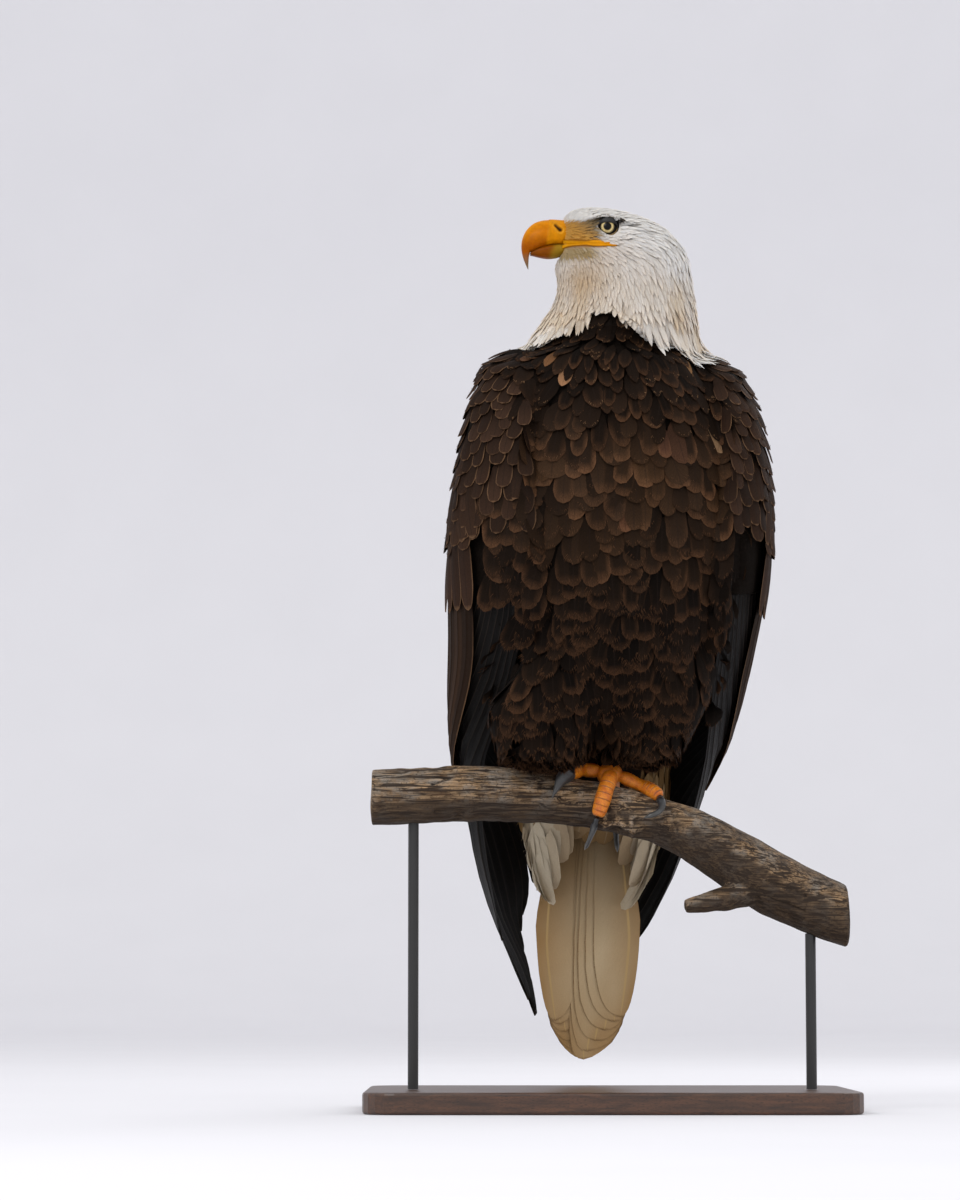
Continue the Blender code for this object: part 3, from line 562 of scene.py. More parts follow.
horn, tree = begin("slate grey claw horn")
where = add(tree, "TexCoord")
streak = add(tree, "Attribute", attribute_name="along")
lines = add(tree, "TexNoise", {"Vector": where, "Scale": 700.0, "Detail": 3.0})
cloud = add(tree, "TexNoise", {"Vector": where, "Scale": 150.0, "Detail": 2.0})
tone = add(tree, "MapRange", {"Value": cloud, "From Min": 0.35, "From Max": 0.65})
grey = add(tree, "Mix", {0: tone, 6: "#17181a", 7: "#2f3033"})
worn = add(tree, "MapRange", {"Value": streak, "From Min": 0.2, "From Max": 1.0, "To Max": 0.55})
grey = add(tree, "Mix", {0: worn, 6: grey, 7: "#504e4a"})
bump = add(tree, "Bump", {"Height": lines, "Strength": 0.25, "Distance": 0.0002})
close(tree, {"Base Color": grey, "Roughness": 0.34, "Normal": bump})

for claw in ("inner", "middle", "outer", "hind"):
    line, radius = thread(f"claw_{claw}", toe_ends[claw], count=9, voxel=0.0006)
    rows = np.column_stack([line, radius])
    base = rows[0].copy()
    base[:3] = toe_ends[claw] * 0.8 + line[0] * 0.2
    tip = rows[-1].copy()
    tip[:3] += (line[-1] - line[-2]) * 0.9
    tip[3] = 0.0002
    rows = resampled(np.concatenate([[base], rows, [tip]]), 44)
    line, radius = rows[:, :3], np.maximum(rows[:, 3], 0.0002)
    share = np.linspace(0, 1, len(line))
    radius = np.maximum(radius, radius.max() * (1 - share) ** 0.7 * 0.68)
    bend = unit(line[:1] + line[-1:] - 2 * line[len(line) // 2][None])
    turn = np.linspace(0, 2 * math.pi, 28, endpoint=False)
    keel = 1 + 0.16 * bell(np.minimum(turn, 2 * math.pi - turn) / 0.5)
    rings = rings_round(line, tube_frames(line, -bend), radius[:, None] * 0.88 * np.sin(turn),
                        radius[:, None] * keel * 1.02 * np.cos(turn))
    made = capped_tube(f"horn_claw_{claw}", rings, horn)
    mark(made, "along", np.repeat(np.pad(share, 2, mode="edge"), len(turn)))
    dress(made, horn)
    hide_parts(f"claw_{claw}")

# ---------------------------------------------------------------- skin
# One skin covers the head, neck, trunk, thighs, tail root and folded wings. It lies under the plumage by
# the coat's depth and shows only between the feathers. Under the hood and rump it takes the plumage's white;
# under the brown body it is painted near black, as the shade in the gaps between feathers.

left, right = (points_of(nodes[f"wing_{side}_secondaries"]).mean(axis=0) for side in ("left", "right"))
BIRD_X = unit(np.array([left[0] - right[0], left[1] - right[1], 0.0]))
BIRD_Y = np.array([-BIRD_X[1], BIRD_X[0], 0.0])
BIRD = np.array([BIRD_X, BIRD_Y, [0, 0, 1]])
FOOT_OVER_BRANCH = 0.0269
BIRD_AT = np.array([0.0, perch_y, foot_middle[2] - FOOT_OVER_BRANCH])

eyes = {side: np.array(sum(map(np.array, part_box(f"eye_{side}")))) / 2 for side in ("left", "right")}
HEAD_Y = unit((eyes["left"] - eyes["right"]) * (1, 1, 0))
HEAD_X = np.array([HEAD_Y[1], -HEAD_Y[0], 0.0])
HEAD = np.array([HEAD_X, HEAD_Y, [0, 0, 1]])
EYE_DROP = 0.002
HEAD_AT = (eyes["left"] + eyes["right"]) / 2 + (0, 0, EYE_DROP)

HOOD_NODES = ["head", "neck"]
BODY_NODES = ["trunk", "thigh_left", "thigh_right"]
WING_NODES = {side: [f"wing_{side}_coverts", f"wing_{side}_secondaries"] for side in ("left", "right")}
SKIN_NODES = HOOD_NODES + BODY_NODES + ["tail_coverts"] + WING_NODES["left"] + WING_NODES["right"]


def in_bird(points):
    """World points in the bird's own frame: x to its left, y to its back, z up from the branch's middle."""
    return (points - BIRD_AT) @ BIRD.T


def in_head(points):
    """World points in the head's own frame, in millimetres: forward along the bill, to its left, up."""
    return (points - HEAD_AT) @ HEAD.T * 1000


def snapped(points, target, lift=0.0):
    """Each point moved to the nearest place on the target's surface, then lifted off it by lift."""
    probe = new_mesh("probe", points, [], [])
    modify(probe, "SHRINKWRAP", target=target, offset=lift,
           wrap_method="NEAREST_SURFACEPOINT", wrap_mode="ABOVE_SURFACE")
    found = points_of(evaluated(probe))
    mesh = probe.data
    bpy.data.objects.remove(probe)
    bpy.data.meshes.remove(mesh)
    return found


def placed(points, target):
    """The nearest places on the target's surface, and the unit normals there."""
    on = snapped(points, target)
    above = snapped(points, target, 0.004)
    return on, unit(above - on)


# Forms to lay skin and feathers on: name, solids, voxel, rounds of smoothing.
envelope = fused("envelope", SKIN_NODES, 0.003, 12)
hood_form = fused("hood_form", HOOD_NODES, 0.0016, 10)
wing_forms = {side: fused(f"wing_form_{side}", WING_NODES[side] + [f"wing_{side}_primaries"], 0.0024, 6)
              for side in ("left", "right")}
body_form = fused("body_form", BODY_NODES, 0.004, 2)
rump_form = fused("rump_form", ["tail_coverts", "tail"], 0.003, 10)
REGIONS = {"hood": hood_form, "body": body_form, "rump": rump_form,
           "wing_left": wing_forms["left"], "wing_right": wing_forms["right"]}


def distances(points):
    """How far each point is from each region's solid, by the region's name."""
    return {name: np.linalg.norm(points - snapped(points, form), axis=1) for name, form in REGIONS.items()}


# The hood's lower edge in front: across in the world, and height above the branch's middle. It is notched
# over the breastbone and level behind.
HOOD_EDGE = ([-0.10, -0.079, -0.060, -0.033, -0.020, 0.009, 0.037, 0.072, 0.10],
             [0.426, 0.427, 0.436, 0.450, 0.461, 0.459, 0.430, 0.421, 0.420])


def over_hood_edge(points):
    """How far above the hood's lower edge each world point is; below is negative."""
    own = in_bird(points)
    front = np.interp(points[:, 0], *HOOD_EDGE)
    share = 1 / (1 + np.exp(own[:, 1] / 0.012))
    return own[:, 2] - (front * share + 0.418 * (1 - share))


def mixed(low, high, share):
    """Colours from low to high by share, one row each. Either may be a hex colour."""
    low, high = (np.asarray(linear(end) if isinstance(end, str) else end)[..., :3] for end in (low, high))
    share = np.asarray(share)[..., None]
    return low * (1 - share) + high * share


def brow_line(ahead):
    """The brow's lower edge: its height over the eye's middle, by how far ahead of it, in millimetres."""
    return np.interp(ahead, [-34, -29, -18, -11, -2, 7, 15, 26, 38],
                     [-2.5, -1.3, 0.6, 5.0, 8.2, 8.4, 6.6, 5.0, 6.5])


def gape_line(ahead):
    """The mouth line's height over the eye's middle, by the distance ahead of it, in millimetres."""
    return np.interp(ahead, [-8, 0, 17, 35], [-18.6, -17.9, -16.7, -15.6])


def off_eye(own):
    """Where head-frame points lie from their side's eye, in millimetres: ahead of it and above it."""
    sides = np.array([in_head(eyes[side][None])[0] for side in ("right", "left")])
    middle = sides[(own[:, 1] > 0).astype(int)]
    return own[:, 0] - middle[:, 0], own[:, 2] - middle[:, 2]


def browed(points):
    """World points with the brow pushed out over each eye and the cheek under it drawn in a little."""
    own = in_head(points)
    ahead, over = off_eye(own)
    rise = over - brow_line(ahead)
    near = (np.abs(own[:, 1]) > 8) * held((24 - np.abs(ahead - 3)) / 10)
    ridge = 3.6 * bell((rise - 2.2) / 2.2) * near
    dip = -1.6 * np.exp(-(((over - 1) / 6.5) ** 2) - ((ahead - 2) / 11) ** 2) * near * (rise < 0.5)
    own[:, 1] += (ridge + dip) * np.sign(own[:, 1])
    return own / 1000 @ HEAD + HEAD_AT


def hood_colour_and_brow_shade(points):
    """The hood's colour by place: white, creamier low on the neck, yellow-brown by the bill, with painted
    shade under each brow.
    """
    own = in_head(points)
    ahead, over = off_eye(own)
    flank = np.abs(own[:, 1]) > 7
    drift = value_noise(points / np.array([0.012, 0.012, 0.03]), 81) * 0.5 + 0.5
    neck = held((-own[:, 2] - 18) / 30) * held((own[:, 2] + 112) / 26)
    cheek = np.exp(-(((own[:, 0] - 5) / 22) ** 2) - ((own[:, 2] + 22) / 12) ** 2)
    throat = np.exp(-(((own[:, 0] - 26) / 16) ** 2) - ((own[:, 2] + 45) / 20) ** 2)
    # Between the eye and the bill the lores are olive brown, yellower towards the bill and the mouth.
    lore = flank * held((ahead - 9) / 7) * held((brow_line(ahead) - over + 0.5) / 2.5)
    lore = lore * held((over + 14.5) / 3)
    olive = mixed("#6f572c", "#ba7d06", held((ahead - 15) / 16 + (-over - 4) / 14))
    chin = held((ahead - 12) / 10) * held((gape_line(ahead) - over - 1.5) / 2)
    chin = chin * held((over + 29) / 4) * flank
    # The gape's yellow spreads onto the feathers beside it, less below it than above.
    band = np.interp(ahead, [-7, 5, 25, 45], [1.4, 3.4, 4.4, 5.8])
    off_line = over - gape_line(ahead)
    gape = flank * held((ahead + 7) / 3)
    gape = gape * held(band - np.maximum(off_line, -1.7 * off_line))
    # Painted shade under the brow: near black along its lower edge.
    drop = brow_line(ahead) - over
    band = np.interp(ahead, [-30, -14, -8, 8, 16, 24], [0.8, 1.2, 3.2, 3.6, 3.0, 1.6])
    under_brow = held((drop + 0.5) / 0.7) * held((band - drop) / 1.6 + 1) * flank
    under_brow = under_brow * held((ahead + 33) / 6) * held((25 - ahead) / 12)
    under_brow = under_brow * np.where(ahead < -12, 0.75, 0.98)
    colour = np.broadcast_to(linear("#dfd9d1")[:3], points.shape)
    for tint, share in (
        ("#c9ab84", neck * (0.30 + 0.55 * drift)), ("#c8b4a0", cheek * 0.55), ("#b8946a", throat * 0.7),
        (olive, lore * 0.93), ("#8c6d25", chin * 0.8), ("#b97c0c", gape * 0.95), ("#0e0b0a", under_brow),
    ):
        colour = mixed(colour, tint, share)
    return colour


def hipped(points):
    """World points with the right thigh's plumage swollen out over the wing, by up to 17 mm."""
    own = in_bird(points)
    near = np.exp(-np.sum(((own - (-0.105, -0.055, 0.066)) / (0.045, 0.045, 0.042)) ** 2, axis=1))
    return points + (near[:, None] * (-0.017, -0.003, 0.0)) @ BIRD


for form in (hood_form, envelope, body_form):
    put_points(form, hipped(browed(points_of(form))))
FLESH_NODES = [name for name in SKIN_NODES if "secondaries" not in name and name != "tail_coverts"]
flesh_form = fused("flesh_form", FLESH_NODES, 0.003, 12)
put_points(flesh_form, browed(points_of(flesh_form)))
points, out = points_of(flesh_form), normals_of(flesh_form)
away = distances(points)
head_place = in_head(points)
face = held((head_place[:, 0] + 30) / 60) * (away["hood"] < 0.004)
wing_skin = np.minimum(away["wing_left"], away["wing_right"]) < 0.003
hooded = (away["hood"] < 0.004) & (over_hood_edge(points) > 0.004)
depth = np.where(hooded, 0.0030 - 0.0020 * face, 0.0062)
depth = np.where(wing_skin, np.interp(in_bird(points)[:, 2], [0.28, 0.32], [0.009, 0.0035]), depth)
# The depth is evened out over neighbouring vertices, so the skin has no steps.
ends = read(flesh_form.data.edges, "vertices", 2, np.int32).astype(int)
ends = np.concatenate([ends, ends[:, ::-1]])
near = np.bincount(ends[:, 0], minlength=len(points))
for _ in range(12):
    depth = 0.5 * depth + 0.5 * np.bincount(ends[:, 0], depth[ends[:, 1]], len(points)) / near
flesh = new_mesh("skin_under_plumage", points - out * depth[:, None], *faces_of(flesh_form))
bpy.data.objects.remove(flesh_form)
mark(flesh, "white", np.where(hooded, 1.0, np.exp(-away["rump"] / 0.004)))
mark(flesh, "dye", hood_colour_and_brow_shade(points))

down, tree = begin("skin and down")
where = add(tree, "TexCoord")
where_white = add(tree, "Attribute", attribute_name="white")
tuft = add(tree, "TexNoise", {"Vector": where, "Scale": 300.0, "Detail": 3.0})
# Painted shade: under the brown plumage the skin is near black, for the shade in the gaps between feathers.
brown = add(tree, "Mix", {0: tuft, 6: "#090605", 7: "#15100c"})
dye = add(tree, "Attribute", attribute_name="dye").outputs["Color"]
fluff = add(tree, "MapRange", {"Value": tuft, "To Min": 0.72, "To Max": 1.0})
pale = add(tree, "Mix", {0: 1.0, 6: dye, 7: fluff}, blend_type="MULTIPLY")
both = add(tree, "Mix", {0: where_white, 6: brown, 7: pale})
bump = add(tree, "Bump", {"Height": tuft, "Strength": 0.5, "Distance": 0.001})
close(tree, {"Base Color": both, "Roughness": 0.9, "Normal": bump,
             "Specular IOR Level": 0.04})
dress(flesh, down)
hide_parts(*FLESH_NODES)

# ---------------------------------------------------------------- eyes
# Each eyeball is a wet globe with a bulging clear front over a pale straw iris, ringed dark, and a round
# black pupil. The lids are folds of bare skin drawn close round it: black at their rims, grey below with a
# thin amber line, and painted near black above as the shade under the brow.

IRIS, PUPIL, RIM = math.radians(32), math.radians(18.5), math.radians(35.5)
EYE_FORWARD = math.radians(9)

glass, tree = begin("wet eye, straw iris")
off_axis = add(tree, "Attribute", attribute_name="off_axis")
polar = add(tree, "Attribute", attribute_name="polar").outputs["Vector"]
fibres = add(tree, "TexNoise", {"Vector": polar, "Scale": 2.2, "Detail": 4.0})
tone = add(tree, "MapRange", {"Value": fibres, "From Min": 0.35, "From Max": 0.65})
straw = add(tree, "Mix", {0: tone, 6: "#b59a5c", 7: "#dccb98"})
inner = add(tree, "MapRange", {"Value": off_axis, "From Min": PUPIL, "From Max": PUPIL + 0.10,
                               "To Min": 0.55, "To Max": 0.0})
straw = add(tree, "Mix", {0: inner, 6: straw, 7: "#6e5426"})
limbus = add(tree, "MapRange", {"Value": off_axis, "From Min": IRIS - 0.12, "From Max": RIM})
straw = add(tree, "Mix", {0: limbus, 6: straw, 7: "#0b0908"})
hole = add(tree, "MapRange", {"Value": off_axis, "From Min": PUPIL - 0.02, "From Max": PUPIL + 0.02,
                              "To Min": 1.0, "To Max": 0.0})
straw = add(tree, "Mix", {0: hole, 6: straw, 7: "#030303"})
close(tree, {"Base Color": straw, "Roughness": 0.25, "Coat Weight": 0.12, "Coat Roughness": 0.03,
             "Specular IOR Level": 0.1})

lid_skin, tree = begin("bare eyelid skin")
where = add(tree, "TexCoord")
tint = add(tree, "Attribute", attribute_name="dye")
wrinkle = add(tree, "TexNoise", {"Vector": where, "Scale": 1400.0, "Detail": 3.0})
shade = add(tree, "MapRange", {"Value": wrinkle, "From Min": 0.3, "From Max": 0.7, "To Min": 0.7,
                               "To Max": 1.1})
skin = add(tree, "Mix", {0: 1.0, 6: tint.outputs["Color"], 7: shade},
           blend_type="MULTIPLY")
bump = add(tree, "Bump", {"Height": wrinkle, "Strength": 0.5, "Distance": 0.0003})
close(tree, {"Base Color": skin, "Roughness": 0.5, "Normal": bump})


eye_low, eye_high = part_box("eye_left")
eye_radius = (eye_high.z - eye_low.z) / 2
for side, sign in (("left", 1), ("right", -1)):
    axis = unit(HEAD_Y * sign * math.cos(EYE_FORWARD) + HEAD_X * math.sin(EYE_FORWARD))
    front = unit(HEAD_X - axis * (HEAD_X @ axis))
    up = np.cross(axis, front) * sign * -1
    up = up * np.sign(up[2])
    # The globe: its radius grows by a twentieth over the iris, as the clear front bulges.
    a = np.linspace(0.0, math.radians(105), 40)[:, None]
    b = np.linspace(0, 2 * math.pi, 64, endpoint=False)[None]
    reach = eye_radius * (1 + 0.05 * np.exp(-((a / 0.55) ** 4)))
    globe = eyes[side] + (
        axis * (reach * np.cos(a))[..., None]
        + front * (reach * np.sin(a) * np.cos(b))[..., None]
        + up * (reach * np.sin(a) * np.sin(b))[..., None]
    )
    flip = slice(None, None, -1) if np.dot(np.cross(front, up), axis) > 0 else slice(None)
    ball = grid(f"eyeball_{side}", globe[:, flip], glass, around=True)
    mark(ball, "off_axis", np.broadcast_to(a, globe.shape[:2]).ravel())
    spin = np.broadcast_to(b[:, flip], globe.shape[:2])
    fibre = np.stack([np.cos(spin) * 5, np.sin(spin) * 5, np.broadcast_to(a, spin.shape) * 1.2], axis=-1)
    vector = ball.data.attributes.new("polar", "FLOAT_VECTOR", "POINT")
    vector.data.foreach_set("vector", fibre.astype(np.float32).ravel())
    dress(ball, glass)
    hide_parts(f"eye_{side}")
    # The lids: a fold whose inner edge lies on the globe along an almond, and whose outer edge sinks
    # under feathers.
    turn = np.linspace(0, 2 * math.pi, 96, endpoint=False)[None]
    s = np.linspace(0, 1, 20)[:, None]
    tall = np.where(np.sin(turn) > 0, 0.0039, 0.0076)
    inside = 1 / np.hypot(np.cos(turn) / 0.0094, np.sin(turn) / tall)
    inside = inside * (1 + 0.08 * held(np.cos(turn)) ** 8)
    outer = 0.0150 - 0.0030 * np.cos(turn) ** 4
    reach = inside - 0.0004 + (outer - inside) * s**1.3
    bulge = eye_radius * (1 + 0.05 * np.exp(-((np.arcsin(inside / eye_radius) / 0.55) ** 4)))
    on_globe = np.sqrt(np.maximum(bulge**2 - inside**2, 0))
    fold = 0.0011 * bell((s - 0.16) / 0.13) + 0.0006 * bell((s - 0.52) / 0.10)
    height = on_globe - 0.0004 + fold + 0.0008 * np.sin(s * math.pi) - 0.0058 * s**2
    height = height + 0.0010 * held(np.sin(turn)) * np.sin(s * math.pi)
    lids = eyes[side] + (
        axis * height[..., None]
        + front * (reach * np.cos(turn))[..., None]
        + up * (reach * np.sin(turn))[..., None]
    )
    lid = grid(f"eyelids_{side}", lids[:, flip], lid_skin, around=True)
    below = held(-np.sin(turn[:, flip]))
    crescent = bell((s - 0.62) / 0.16) * held(below * 1.4)
    # Painted shade: the upper lid is near black as the shade under the brow; below it turns grey.
    body = mixed("#0b0909", "#6b6260", held(below * 1.8 - 0.5) * np.ones_like(s))
    body = mixed(body, "#b5b3b4", crescent * 0.9)
    amber = bell((s - 0.24) / 0.08) * held(0.25 - np.sin(turn[:, flip]) * 2.5)
    body = mixed(body, "#b58a24", held(amber) * 0.8)
    rim = held(1 - (s - 0.08) / 0.08) * np.ones_like(turn)
    mark(lid, "dye", mixed(body, "#0b0a0a", rim).reshape(-1, 3))
    dress(lid, lid_skin)

# ---------------------------------------------------------------- bill
# A deep hooked sheath of yellow horn, satin, on a softer waxy cere with a slit nostril. The cutting edge
# bows down and laps over the lower bill, which is a shallow scoop. The hook's point wears to a dirty
# grey.

UPPER = [
    (38.0, 8.0, 38.0, -16.0, 15.6), (42.0, 8.1, 43.4, -16.6, 15.2), (52.0, 8.6, 51.5, -16.4, 13.8),
    (62.0, 7.6, 60.5, -18.8, 12.2), (70.0, 4.2, 66.0, -20.8, 10.6), (76.3, -2.2, 70.0, -22.4, 8.9),
    (79.8, -9.8, 72.3, -23.0, 7.2), (80.9, -17.0, 73.4, -26.0, 5.6), (80.3, -23.8, 73.9, -29.2, 4.1),
    (78.7, -30.0, 74.1, -32.8, 2.7), (76.6, -35.4, 74.2, -36.8, 1.5), (74.7, -39.4, 74.2, -39.9, 0.5),
]
LOWER = [
    (38.0, -15.6, 38.0, -26.0, 13.6), (43.4, -15.5, 44.0, -26.8, 13.0), (48.0, -15.2, 47.5, -28.0, 11.8),
    (55.0, -15.8, 55.0, -29.0, 10.2), (62.0, -17.6, 62.5, -28.2, 8.2), (68.0, -20.2, 68.0, -27.0, 5.9),
    (72.4, -23.6, 72.0, -26.2, 4.0),
]
NOSTRIL = np.array([[49.6, 1.2], [45.2, -3.6]])
CERE_END = 56.5


def curve_rows(rows, count):
    """Rows of numbers read at equal steps along a smooth curve through them: a cubic with matched slopes."""
    rows = np.asarray(rows, float)
    at = np.linspace(0, len(rows) - 1, count)
    slopes = np.gradient(rows, axis=0)
    left = np.clip(np.floor(at).astype(int), 0, len(rows) - 2)
    s = (at - left)[:, None]
    return (
        (2 * s**3 - 3 * s**2 + 1) * rows[left] + (s**3 - 2 * s**2 + s) * slopes[left]
        + (3 * s**2 - 2 * s**3) * rows[left + 1] + (s**3 - s**2) * slopes[left + 1]
    )


def bill_rings(rows, count, around, fullness, power, edge):
    """Rings in the head's frame, in millimetres: tall rounded sections, widest low down, their lower
    corners drawn out.

    A point's rise is cos(turn) and its reach sideways sin(turn), each raised to the power; edge sharpens
    the bottom.
    """
    rows = curve_rows(rows, count)
    turn = np.linspace(0, 2 * math.pi, around, endpoint=False)[None]
    rise = np.sign(np.cos(turn)) * np.abs(np.cos(turn)) ** power
    aside = np.sign(np.sin(turn)) * np.abs(np.sin(turn)) ** power * (1 - fullness * np.cos(turn))
    low = bell((rise + 1) / 0.3) * np.abs(aside)
    aside = aside * (1 + edge * low)
    top, bottom, width = rows[:, None, :2], rows[:, None, 2:4], rows[:, 4:5]
    profile = (top + bottom) / 2 + (top - bottom) / 2 * rise[..., None]
    return np.stack([profile[..., 0], width * aside, profile[..., 1]], axis=-1), turn


def from_head(points):
    """Head-frame points in millimetres as world points in metres."""
    return points.reshape(-1, 3) / 1000 @ HEAD + HEAD_AT


def near_line(points, a, b):
    """The distance of points (columns forward, up) from the stretch a to b."""
    along = (b - a) / np.linalg.norm(b - a)
    t = np.clip((points - a) @ along, 0, np.linalg.norm(b - a))
    return np.linalg.norm(points - a - t[..., None] * along, axis=-1)


keratin, tree = begin("yellow bill horn and waxy cere")
where = add(tree, "TexCoord")
tint = add(tree, "Attribute", attribute_name="dye")
gloss = add(tree, "Attribute", attribute_name="gloss")
mottle = add(tree, "TexNoise", {"Vector": where, "Scale": 230.0, "Detail": 4.0})
fine = add(tree, "TexNoise", {"Vector": where, "Scale": 1100.0, "Detail": 3.0})
shade = add(tree, "MapRange", {"Value": mottle, "From Min": 0.3, "From Max": 0.7, "To Min": 0.84,
                               "To Max": 1.08})
yellow = add(tree, "Mix", {0: 1.0, 6: tint.outputs["Color"], 7: shade},
             blend_type="MULTIPLY")
bump = add(tree, "Bump", {"Height": fine, "Strength": 0.22, "Distance": 0.0002})
rough = add(tree, "MapRange", {"Value": gloss, "To Min": 0.52, "To Max": 0.30})
close(tree, {"Base Color": yellow, "Roughness": rough, "Normal": bump,
             "Specular IOR Level": 0.05, "Subsurface Weight": 0.06, "Subsurface Scale": 0.6,
             "Subsurface Radius": (0.005, 0.0025, 0.0008)})

rings, turn = bill_rings(UPPER, 110, 96, fullness=0.22, power=0.85, edge=0.04)
forward, aside, up = rings[..., 0], rings[..., 1], rings[..., 2]
out = unit(np.stack(np.broadcast_arrays(0 * forward, np.sin(turn), np.cos(turn)), axis=-1))
flank = np.abs(np.sin(turn)) ** 2 * (np.cos(turn) > -0.75)
# The cere stands 0.4 mm proud behind a shallow step; the nostril is a slit 1.6 mm wide and 2 mm deep with
# a raised lip.
cere_line = CERE_END - 1.5 * np.sin((up + 4) / 9)
cere = 1 / (1 + np.exp((forward - cere_line) / 0.45))
step = 0.42 * cere - 0.25 * bell((forward - cere_line - 0.7) / 0.6)
slit = near_line(np.stack([forward, up], axis=-1), *NOSTRIL)
slit = slit * (1.15 - 0.35 * held((1.2 - up) / 4.8))
pit = np.exp(-((slit / 1.55) ** 4)) * flank
lip = bell((slit - 2.6) / 0.8) * flank
swell = 0.35 * bell((slit - 2.0) / 2.4) * flank
push = step - 2.1 * pit + 0.3 * lip + swell
push = push * (np.cos(turn) > -0.9)
rings = rings + out * push[..., None]
place = from_head(rings).reshape(rings.shape)
upper = capped_tube("bill_upper_horn", place, keratin)
# From the root to the hook: amber cere and grey worn tip, with a pale rim round the nostril. Painted light
# and
# shade: the top is lighter and the low flank darker brown, as lit from above, and the nostril's inside is
# dark.
# Painted light: the bill is lighter along its top, where the light falls.
crest = held(np.cos(turn)) ** 2 * np.ones_like(up)
colour = mixed("#b96b02", "#cb8203", crest)
for tint, share in (
    ("#c58204", cere * 0.6),
    ("#8f4600", held((-up - 6) / 12) * (1 - cere) * 0.9),
    ("#6f6450", held((-24 - up) / 15) ** 0.8 * (forward > 66)),
    ("#e0a838", lip * 0.3),
    ("#171009", pit),
):
    colour = mixed(colour, tint, share)


def with_ends(values):
    """A ring-by-ring array with its first and last rings repeated for a tube's two end caps."""
    return np.concatenate([values[:1], values[:1], values, values[-1:], values[-1:]])


mark(upper, "dye", with_ends(colour).reshape(-1, 3))
mark(upper, "gloss", with_ends(1 - cere).ravel())
dress(upper, keratin)
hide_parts("bill_upper")

rings, turn = bill_rings(LOWER, 70, 72, fullness=-0.10, power=0.85, edge=0.0)
forward, up = rings[..., 0], rings[..., 2]
lower = capped_tube("bill_lower_horn", from_head(rings).reshape(rings.shape), keratin)
soft = 1 / (1 + np.exp((forward - 52 + 0.35 * (up + 22)) / 1.2))
# Painted shade: the lower bill lies under the upper one and is painted a darker orange-brown, darker still
# under the hook.
colour = np.broadcast_to(linear("#7c4004")[:3], rings.shape)
colour = mixed(colour, "#6e3a08", held((forward - 60) / 12) * 0.6)
colour = mixed(colour, "#8f741c", soft * 0.75)
mark(lower, "dye", with_ends(colour).reshape(-1, 3))
mark(lower, "gloss", with_ends(1 - soft).ravel())
dress(lower, keratin)
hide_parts("bill_lower")

# The gape: two soft yellow lips, one over the other, that run back from the bill's corner to below the
# eye. Each lip's course from the bill backwards, in millimetres: ahead of the eye, above it, and half its
# thickness.
GAPE = {
    "upper": [(41, -12.8, 3.0), (28, -13.9, 2.6), (15, -15.2, 2.1), (5, -16.4, 1.7), (-5, -17.7, 0.9)],
    "lower": [(41, -17.8, 2.2), (28, -18.0, 2.0), (15, -18.4, 1.7), (5, -18.9, 1.4), (-6.5, -19.4, 0.8)],
}
cheek = in_head(points_of(flesh))
cheek = cheek[np.abs(cheek[:, 0]) < 90]
for side in ("left", "right"):
    sign = 1 if side == "left" else -1
    middle = in_head(eyes[side][None])[0]
    for which, rows in GAPE.items():
        rows = resampled(np.array(rows), 44)
        # Each point lies on the cheek's skin: beside the mean of the skin's vertices around it, 2 mm wide.
        line = rows[:, :2] + middle[[0, 2]]
        gap = np.hypot(line[:, 0][:, None] - cheek[:, 0], line[:, 1][:, None] - cheek[:, 2])
        weight = bell(gap / 2.0) * (cheek[:, 1] * sign > 4)
        aside = (weight * np.abs(cheek[:, 1])).sum(1) / np.maximum(weight.sum(1), 1e-9)
        joined = weight.sum(1) > 1e-3
        aside = np.interp(np.arange(len(rows)), np.flatnonzero(joined), aside[joined])
        for _ in range(12):
            aside[1:-1] = (aside[:-2] + 2 * aside[1:-1] + aside[2:]) / 4
        on_face = from_head(np.column_stack([line[:, 0], aside * sign, line[:, 1]]))
        out = placed(on_face, hood_form)[1]
        for _ in range(30):
            out[1:-1] = (out[:-2] + 2 * out[1:-1] + out[2:]) / 4
        out = unit(out)
        on_face = on_face + out * 0.0012
        turn = np.linspace(0, 2 * math.pi, 20, endpoint=False)
        reach = rows[:, 2:3] / 1000
        frames = tube_frames(on_face, out)
        rings = rings_round(on_face, frames, reach * np.sin(turn), 0.62 * reach * np.cos(turn))
        made = capped_tube(f"gape_{side}_{which}", rings, keratin)
        share = np.linspace(0, 1, len(rows))
        tint = mixed("#c98a0a", "#cc8206", share)
        tint = np.broadcast_to(tint[:, None], rings.shape)
        # Painted shade: each lip's inner face, along the mouth line between the lips, is darkened to brown.
        inner = held((np.sin(turn) if which == "lower" else -np.sin(turn)) - 0.55) * 2
        tone = with_ends(mixed(tint, "#5a2e06", held(inner)[None] * np.ones((len(rows), 1)) * 0.8))
        mark(made, "dye", tone.reshape(-1, 3))
        mark(made, "gloss", np.full(tone.shape[0] * tone.shape[1], 0.3))
        dress(made, keratin)
        if which == "upper":
            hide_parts(f"gape_{side}")

# ---------------------------------------------------------------- tail
# Twelve stiff white feathers, folded like a hand of cards: the middle pair longest and uppermost, each
# next one out a little shorter and below. Every vane is a thin web on a raised shaft. They are set in the
# stump of the tail.

